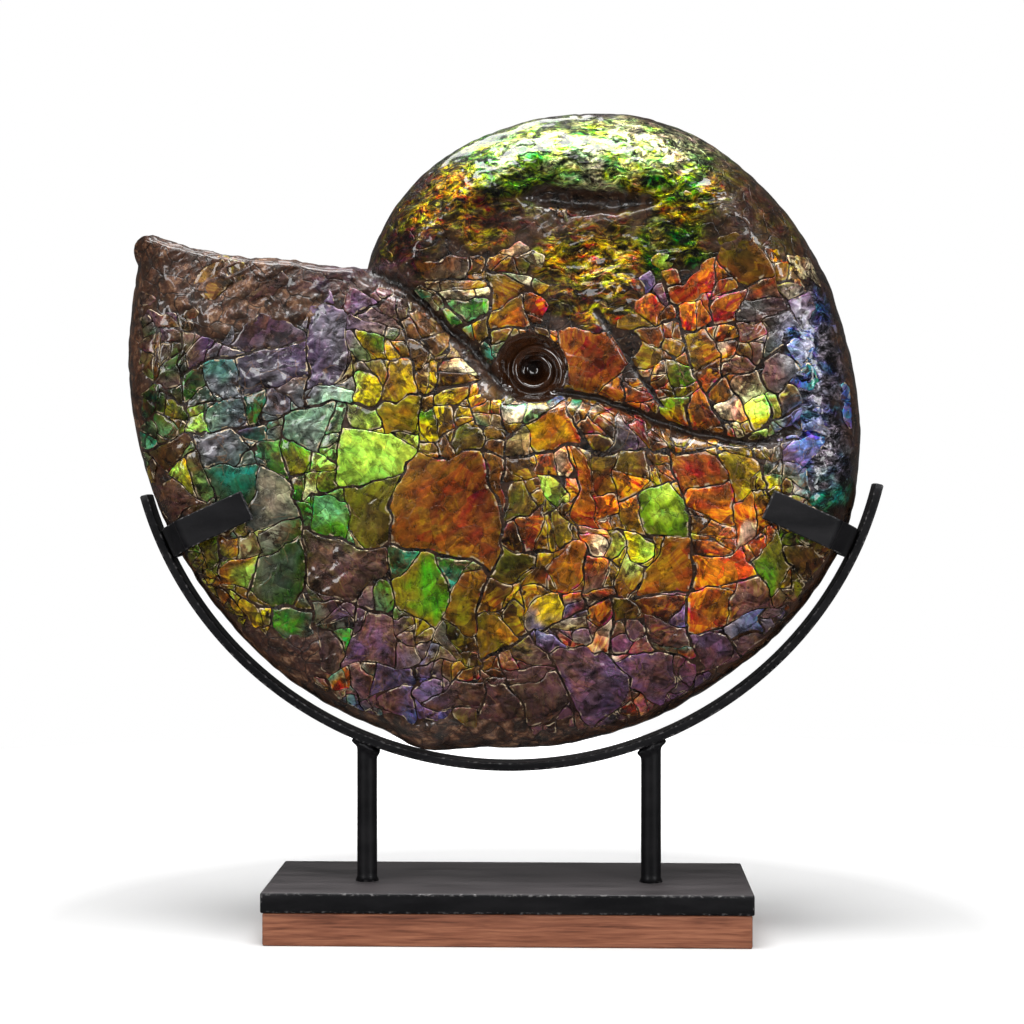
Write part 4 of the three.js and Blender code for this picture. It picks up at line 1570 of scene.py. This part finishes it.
def ammolitePlateMaterial():
    material, add, into = startMaterial("ammolitePlate")
    finish = plateFinish
    place = add("TexCoord").outputs["Object"]
    tint = attributeOf(add, "tint", "Color")
    edge = attributeOf(add, "edge")
    wrinkle = attributeOf(add, "wrinkle")
    calm = attributeOf(add, "calm")
    grain = attributeOf(add, "grain", "Vector")

    # flat breaks within the skin, each with a tone of its own, and a net of hair cracks round them
    warped = bentPlace(add, place, 90.0, 3.0, 0.005)
    facets = add("TexVoronoi", {"Vector": warped, "Scale": 1 / finish["facetSize"]}).outputs["Color"]
    facetTone, facetHue, facetFlash = add("SeparateColor", {"Color": facets}).outputs
    net = cracks(add, warped, 1 / finish["facetSize"])

    # cloudy depth, then streaks along each plate's own grain
    patches = noise(add, place, 1 / finish["patchSize"], 6.0, 0.62, 0.8)
    streaks = noise(add, grain, 1.0, 3.0)
    bands = noise(add, grain, 0.33)
    dust = noise(add, place, 1 / finish["dustSize"], 5.0, 0.7)
    tone = times(add, fromTo(add, patches, 0.36, 0.64, 0.22, 1.4), fromTo(add, streaks, 0.3, 0.7, 0.55, 1.5),
                 fromTo(add, dust, 0.36, 0.62, 0.55, 1.45), fromTo(add, facetTone, 0.0, 1.0, 0.45, 1.5))
    tone = calc(add, "POWER", tone, fromTo(add, calm, 0.0, 1.0, 1.25, 0.6))
    hue = plus(add, fromTo(add, facetHue, 0.0, 1.0, -0.014, 0.02),
               fromTo(add, bands, 0.28, 0.72, 0.480, 0.522))
    colour = shifted(add, hue, 1.2, tone, tint)

    # where the skin is thin the brown of the stone shows through
    lively = fromTo(add, calm, 0.0, 1.0, 1.0, 0.25)
    thin = noise(add, place, 1 / finish["thinSize"], 5.0, 0.6, 1.2)
    thin = times(add, fromTo(add, thin, 0.46, 0.58, 0.0, 0.8), lively)
    colour = mixColours(add, thin, colour, shifted(add, 0.5, 1.0, tone, paint(finish["stone"])))

    # flashes of purer colour, on some of the flat breaks and in small clouds, and brown stains
    clouds = noise(add, place, 62.0, 5.0, 0.6, 1.4)
    onFacet = times(add, fromTo(add, facetFlash, 0.74, 0.78), fromTo(add, patches, 0.40, 0.50))
    flashing = calc(add, "MAXIMUM", onFacet, fromTo(add, clouds, 0.58, 0.64, 0.0, 0.9))
    flashHue = fromTo(add, streaks, 0.3, 0.7, 0.47, 0.57)
    flash = shifted(add, flashHue, 1.15, fromTo(add, streaks, 0.3, 0.7, 1.4, 3.4), tint)
    colour = mixColours(add, times(add, flashing, lively), colour, flash)
    stain = noise(add, place, 105.0, 6.0, 0.68)
    stained = times(add, fromTo(add, stain, 0.50, 0.62, 0.0, 0.6), lively)
    colour = mixColours(add, stained, colour, paint(finish["stain"]))

    # the crumpled pieces: painted light on the crests of their folds, painted shade in their valleys
    folding = noise(add, stretch(add, place, (1.0, 1.0, 1.4)), 1 / finish["foldSize"], 2.5, 0.5, 1.8)
    crestHue = fromTo(add, streaks, 0.3, 0.7, 0.44, 0.56)
    foldLightAndShade = shifted(add, crestHue, 0.80, fromTo(add, folding, 0.38, 0.60, 0.16, 1.7), tint)
    crumpled = fromTo(add, wrinkle, 0.4, 1.0, 0.0, 0.85)
    colour = mixColours(add, crumpled, colour, foldLightAndShade)

    # hair cracks, some dark and some pale
    some = noise(add, place, 45.0, 1.0)
    hair = fromTo(add, net, 0.004, finish["netWidth"], 1.0, 0.0)
    hair = times(add, hair, fromTo(add, some, 0.47, 0.55, 0.0, 0.8))
    colour = mixColours(add, hair, colour, paint(palette["bark"], 0.3))
    pale = fromTo(add, cracks(add, warped, 75.0), 0.004, 0.022, 1.0, 0.0)
    pale = times(add, pale, fromTo(add, some, 0.44, 0.40, 0.0, 0.6))
    colour = mixColours(add, pale, colour, paint(palette["tan"]))

    # the broken edges: a bright fringe in places, pale chips that also paint glints, painted highlights along
    # the edges, then the brown of the fill
    fringe = shifted(add, fromTo(add, clouds, 0.4, 0.6, 0.42, 0.60), 1.2, 2.0, tint)
    fringed = times(add, fromTo(add, edge, 0.30, 0.62), fromTo(add, patches, 0.48, 0.58, 0.0, 0.8))
    colour = mixColours(add, fringed, colour, fringe)
    chipGlint = noise(add, place, 190.0)
    chipsAndGlints = times(add, fromTo(add, edge, 0.34, 0.56), fromTo(add, chipGlint, 0.57, 0.64, 0.0, 0.85))
    colour = mixColours(add, chipsAndGlints, colour, paint(finish["chipGlint"]))
    # painted highlight near the edges of the plates
    paintedHighlight = times(add, fromTo(add, edge, 0.42, 0.56), fromTo(add, edge, 0.86, 0.74),
                fromTo(add, chipGlint, 0.55, 0.60, 0.0, 0.8))
    colour = mixColours(add, paintedHighlight, colour, paint(finish["paintedHighlightColour"]))
    rim = times(add, fromTo(add, edge, 0.72, 0.98), fromTo(add, some, 0.40, 0.52, 0.30, 0.95))
    into("Base Color", mixColours(add, rim, colour, paint(palette["bark"], 0.5)))

    into("Metallic", finish["metallic"])
    into("Roughness", fromTo(add, patches, 0.3, 0.7, *finish["roughness"]))
    into("Coat Weight", 1.0)
    into("Coat Roughness", finish["coatRoughness"])
    into("Coat IOR", 1.5)
    fine = noise(add, place, 1 / finish["grainSize"], 4.0)
    heights = plus(add, times(add, fine, 0.3), times(add, patches, 1.6), times(add, folding, crumpled, 3.5))
    heights = calc(add, "SUBTRACT", heights, times(add, hair, 0.5))
    roughen(add, into, plus(add, heights, times(add, dust, 0.9)), 0.55, 0.0008)
    return material


coreFinish = {
    "foilMetal": 0.8,
    "coatRoughness": 0.06,
    "glint": 0.0024,  # metres from here on
    "sheet": 0.0068,
    "crackle": 0.015,
    "rock": [  # colours as seen from here on
        (0.41, (0.04, 0.022, 0.015)), (0.48, (0.21, 0.105, 0.055)),
        (0.55, (0.38, 0.21, 0.12)), (0.62, (0.68, 0.50, 0.36)),
    ],
    "bareRock": [(0.40, (0.035, 0.025, 0.02)), (0.60, (0.22, 0.13, 0.07))],
    "polished": (0.25, 0.15, 0.09),
    "speck": (0.20, 0.13, 0.07, 1),  # colours as light from here on
    "crack": (0.010, 0.006, 0.004, 1),
    "shade": (0.006, 0.004, 0.003, 1),
}


def shellCoreMaterial():
    material, add, into = startMaterial("shellCore")
    finish = coreFinish
    place = add("TexCoord").outputs["Object"]
    tint = attributeOf(add, "tint", "Color")
    foil = attributeOf(add, "foil")
    crust = attributeOf(add, "crust")
    hollowShade = attributeOf(add, "hollowShade")
    polish = attributeOf(add, "polish")
    dull = calc(add, "SUBTRACT", 1.0, polish)
    warped = bentPlace(add, place, 70.0, 2.0, 0.012)

    # crinkled foil: sheets of one hue and brightness, with glints along their strokes, painted into the
    # brightness as well as raised by the bump
    strokes = stretch(add, warped, (0.6, 1, 1.4))
    glints = noise(add, strokes, 1 / finish["glint"], 3.0, 0.65)
    sheets = noise(add, strokes, 1 / finish["sheet"], 6.0, 0.7, output="Color")
    sheetHue, sheetValue, sheetPale = add("SeparateColor", {"Color": sheets}).outputs
    value = times(add, fromTo(add, sheetValue, 0.42, 0.60, 0.05, 1.5),
                  fromTo(add, glints, 0.42, 0.60, 0.25, 2.0))
    foilColour = shifted(add, fromTo(add, sheetHue, 0.36, 0.64, 0.40, 0.59),
                         fromTo(add, sheetPale, 0.4, 0.7, 1.3, 0.72), value, tint)

    # crust and bare rock, with specks, cracks and the painted shade of the grooves and the eye
    mottle = noise(add, warped, 120.0, 8.0, 0.70)
    speck = noise(add, place, 620.0, 3.0)
    tinted = mixColours(add, 0.45, ramp(add, mottle, finish["rock"]), tint)
    plain = mixColours(add, crust, ramp(add, mottle, finish["bareRock"]), tinted)
    specks = times(add, fromTo(add, speck, 0.60, 0.70, 0.0, 0.6), dull)
    plain = mixColours(add, specks, plain, finish["speck"])
    crackle = fromTo(add, cracks(add, warped, 1 / finish["crackle"]), 0.01, 0.035, 1.0, 0.0)
    crackle = times(add, crackle, dull)
    plain = mixColours(add, times(add, crackle, 0.85), plain, finish["crack"])
    plain = mixColours(add, times(add, polish, 0.35), plain, paint(finish["polished"]))
    # painted shade: darker the deeper a place lies in a groove or the eye
    dark = mixColours(add, times(add, hollowShade, 0.7), plain, finish["shade"])
    foilMask = fromTo(add, foil, 0.25, 0.7)
    into("Base Color", mixColours(add, foilMask, dark, foilColour))

    into("Metallic", times(add, foilMask, finish["foilMetal"]))
    rough = plus(add, fromTo(add, mottle, 0.3, 0.7, 0.20, 0.42), times(add, crust, 0.16))
    into("Roughness", times(add, rough, fromTo(add, polish, 0.0, 1.0, 1.0, 0.45)))
    coat = times(add, fromTo(add, crust, 0.1, 0.9, 1.0, 0.7), fromTo(add, hollowShade, 0.2, 0.9, 1.0, 0.35),
                 fromTo(add, crust, 1.0, 1.5, 1.0, 0.3))
    into("Coat Weight", calc(add, "MAXIMUM", coat, polish))
    into("Coat Roughness", finish["coatRoughness"])
    lumps = times(add, mottle, fromTo(add, crust, 0.0, 1.0, 1.2, 3.6))
    heights = plus(add, times(add, glints, foilMask), lumps, times(add, speck, 0.3))
    heights = calc(add, "SUBTRACT", heights, times(add, crackle, 0.8))
    roughen(add, into, times(add, heights, dull), 0.6, 0.001)
    return material


steelFinish = {
    "black": (0.09, 0.09, 0.10),
    "grey": (0.145, 0.14, 0.15),
    # dust, also painting the light that falls on upward faces
    "dust": (0.38, 0.36, 0.365),
    # pale worn paint, also painting the edge highlights
    "worn": (0.50, 0.49, 0.49),
    "metallic": 0.35,
    "roughness": (0.34, 0.52),
}


def blackSteelMaterial():
    material, add, into = startMaterial("blackSteel")
    finish = steelFinish
    place = add("TexCoord").outputs["Object"]
    wearAndEdgeGlint = attributeOf(add, "wearAndEdgeGlint")
    speck = noise(add, place, 900.0, 4.0)
    cloud = noise(add, stretch(add, place, (0.25, 1, 1)), 60.0, 6.0, 0.65)
    grey = paint(finish["grey"])
    body = mixColours(add, fromTo(add, cloud, 0.42, 0.72, 0.0, 0.8), paint(finish["black"]), grey)
    # upward faces are lighter: dust, and painted light from above
    up = add("SeparateXYZ", {"Vector": add("NewGeometry").outputs["Normal"]}).outputs[2]
    dustAndTopLight = times(add, fromTo(add, up, 0.8, 0.98), fromTo(add, cloud, 0.3, 0.65, 0.55, 1.0))
    body = mixColours(add, dustAndTopLight, body, paint(finish["dust"]))
    body = mixColours(add, fromTo(add, speck, 0.55, 0.75, 0.0, 0.35), body, grey)
    patchy = noise(add, place, 380.0, 4.0)
    # pale worn edges, partly painted edge highlights
    bare = times(add, fromTo(add, wearAndEdgeGlint, 0.55, 1.0), fromTo(add, patchy, 0.52, 0.68, 0.0, 0.6))
    into("Base Color", mixColours(add, bare, body, paint(finish["worn"])))
    into("Metallic", finish["metallic"])
    into("Roughness", fromTo(add, cloud, 0.3, 0.7, *finish["roughness"]))
    roughen(add, into, plus(add, times(add, speck, 0.6), cloud), 0.25, 0.0004)
    return material


woodFinish = {
    "colours": [(0.36, (0.28, 0.14, 0.09)), (0.50, (0.48, 0.28, 0.19)), (0.66, (0.60, 0.38, 0.27))],
    "roughness": (0.42, 0.6),
}


def woodMaterial():
    material, add, into = startMaterial("redWood")
    place = add("TexCoord").outputs["Object"]
    long = stretch(add, place, (0.05, 1, 1))
    warp = noise(add, stretch(add, place, (0.3, 1, 1)), 40.0)
    grain = noise(add, long, 620.0, 5.0, 0.6, 0.4)
    broad = noise(add, long, 90.0, 3.0)
    figure = plus(add, times(add, grain, 0.6), times(add, broad, 0.4), times(add, warp, 0.08))
    into("Base Color", ramp(add, figure, woodFinish["colours"]))
    into("Roughness", fromTo(add, grain, 0.3, 0.7, *woodFinish["roughness"]))
    roughen(add, into, grain, 0.3, 0.0004)
    return material


coreMaterial = shellCoreMaterial()
plateMaterial = ammolitePlateMaterial()
steelMaterial = blackSteelMaterial()
dressing = [
    # piece, finish, the record's slot and the node that it stands for
    (ammoniteCore, coreMaterial, "ammolite", "ammonite"),
    (bodyPlates, plateMaterial, "ammolite", None),
    (olderPlates, plateMaterial, "ammolite", None),
    (backBodyPlates, plateMaterial, "ammolite", None),
    (backOlderPlates, plateMaterial, "ammolite", None),
    (innerCoil, coreMaterial, "ammolite", None),
    (cradleBar, steelMaterial, "black_steel", "cradle_arc"),
    (clawLeft, steelMaterial, "black_steel", "claw_left"),
    (clawRight, steelMaterial, "black_steel", "claw_right"),
    (postLeft, steelMaterial, "black_steel", "post_left"),
    (postRight, steelMaterial, "black_steel", "post_right"),
    (basePlate, steelMaterial, "black_steel", "base_plate"),
    (woodPlinth, woodMaterial(), "wood", "wood_plinth"),
]
for piece, material, slot, node in dressing:
    piece.data.materials.append(material)
    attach(piece, "root")
    if node:
        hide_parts(node)
print("finishes: shell, plates, steel and wood")

# floor, lights and camera
studio = {
    "floorRadius": 1.1,  # metres from here on
    "floorCorners": 96,
    "white": 0.73,
    "glow": (0.30, 0.62),  # where the floor fades into the white of the room
    "fill": 0.24,  # how strongly the white room lights matt surfaces
    "reflected": 0.06,  # and how much of it gloss shows
    "lamps": [
        # name, place, sizes, height that it aims at, watts, whether gloss mirrors it
        ("overhead", (-0.06, -0.30, 1.5), (1.1, 0.7), 0.30, 29, True),
        ("left", (-1.9, -2.2, 1.2), (0.55, 1.7), 0.30, 23.5, True),
        ("right", (1.25, -1.3, 0.75), (0.35, 1.1), 0.30, 10.5, True),
        ("front", (0.2, -2.4, 1.6), (1.2, 0.5), 0.25, 10, True),
        ("behind", (-0.5, 1.7, 2.2), (1.2, 0.8), 0.30, 9, True),
        ("behindLow", (1.35, 2.4, 1.0), (1.6, 1.8), 0.32, 14, False),
    ],
}


def buildFloor():
    count = studio["floorCorners"]
    turns = np.arange(count) / count * 2 * math.pi
    rim = np.column_stack([np.cos(turns), np.sin(turns), 0 * turns]) * studio["floorRadius"]
    floor = makePiece("floor", rim / mm, [list(range(count))])
    material, add, into = startMaterial("paleFloor")
    fromMiddle = add("VectorMath", {0: add("TexCoord").outputs["Object"]}, operation="LENGTH")
    into("Base Color", (studio["white"],) * 3 + (1,))
    into("Roughness", 0.9)
    into("Emission Color", (1, 1, 1, 1))
    into("Emission Strength", fromTo(add, fromMiddle.outputs["Value"], *studio["glow"]))
    floor.data.materials.append(material)
    floor.visible_glossy = False  # polished pieces mirror the dark of the room, not the table


# a white room that lights matt surfaces and shows little in the gloss
def buildRoom():
    world = bpy.data.worlds.new("paleRoom")
    bpy.context.scene.world = world
    world.use_nodes = True
    tree = world.node_tree
    room = tree.nodes["Background"]
    room.inputs["Color"].default_value = (1, 1, 1, 1)
    path = tree.nodes.new("ShaderNodeLightPath")
    level = None
    for output, amount in (("Is Glossy Ray", studio["reflected"]), ("Is Camera Ray", 1.0)):
        mix = tree.nodes.new("ShaderNodeMix")
        mix.inputs[3].default_value = amount
        tree.links.new(path.outputs[output], mix.inputs[0])
        if level is None:
            mix.inputs[2].default_value = studio["fill"]
        else:
            tree.links.new(level, mix.inputs[2])
        level = mix.outputs[0]
    tree.links.new(level, room.inputs["Strength"])


def buildLamps():
    for name, place, size, aim, watts, mirrored in studio["lamps"]:
        lamp = bpy.data.lights.new(name, "AREA")
        lamp.shape = "RECTANGLE"
        lamp.size, lamp.size_y = size
        lamp.energy = watts
        holder = bpy.data.objects.new(name, lamp)
        bpy.context.scene.collection.objects.link(holder)
        holder.location = place
        holder.visible_glossy = mirrored
        toward = Vector((0, 0, aim)) - Vector(place)
        holder.rotation_euler = toward.to_track_quat("-Z", "Y").to_euler()


viewpoint = {"place": (0.0432, -1.4074, 0.2849), "lens": 77.3, "turnLeft": 1.69, "tiltDown": 0.70}


def buildCamera():
    data = bpy.data.cameras.new("camera")
    data.lens = viewpoint["lens"]
    data.sensor_width = 36
    camera = bpy.data.objects.new("camera", data)
    camera.location = viewpoint["place"]
    tilt = math.radians(90 - viewpoint["tiltDown"])
    camera.rotation_euler = (tilt, 0, math.radians(viewpoint["turnLeft"]))
    bpy.context.scene.collection.objects.link(camera)
    bpy.context.scene.camera = camera
    bpy.context.scene.view_settings.view_transform = "Standard"


buildFloor()
buildRoom()
buildLamps()
buildCamera()
print("studio: floor, room, lamps and camera")
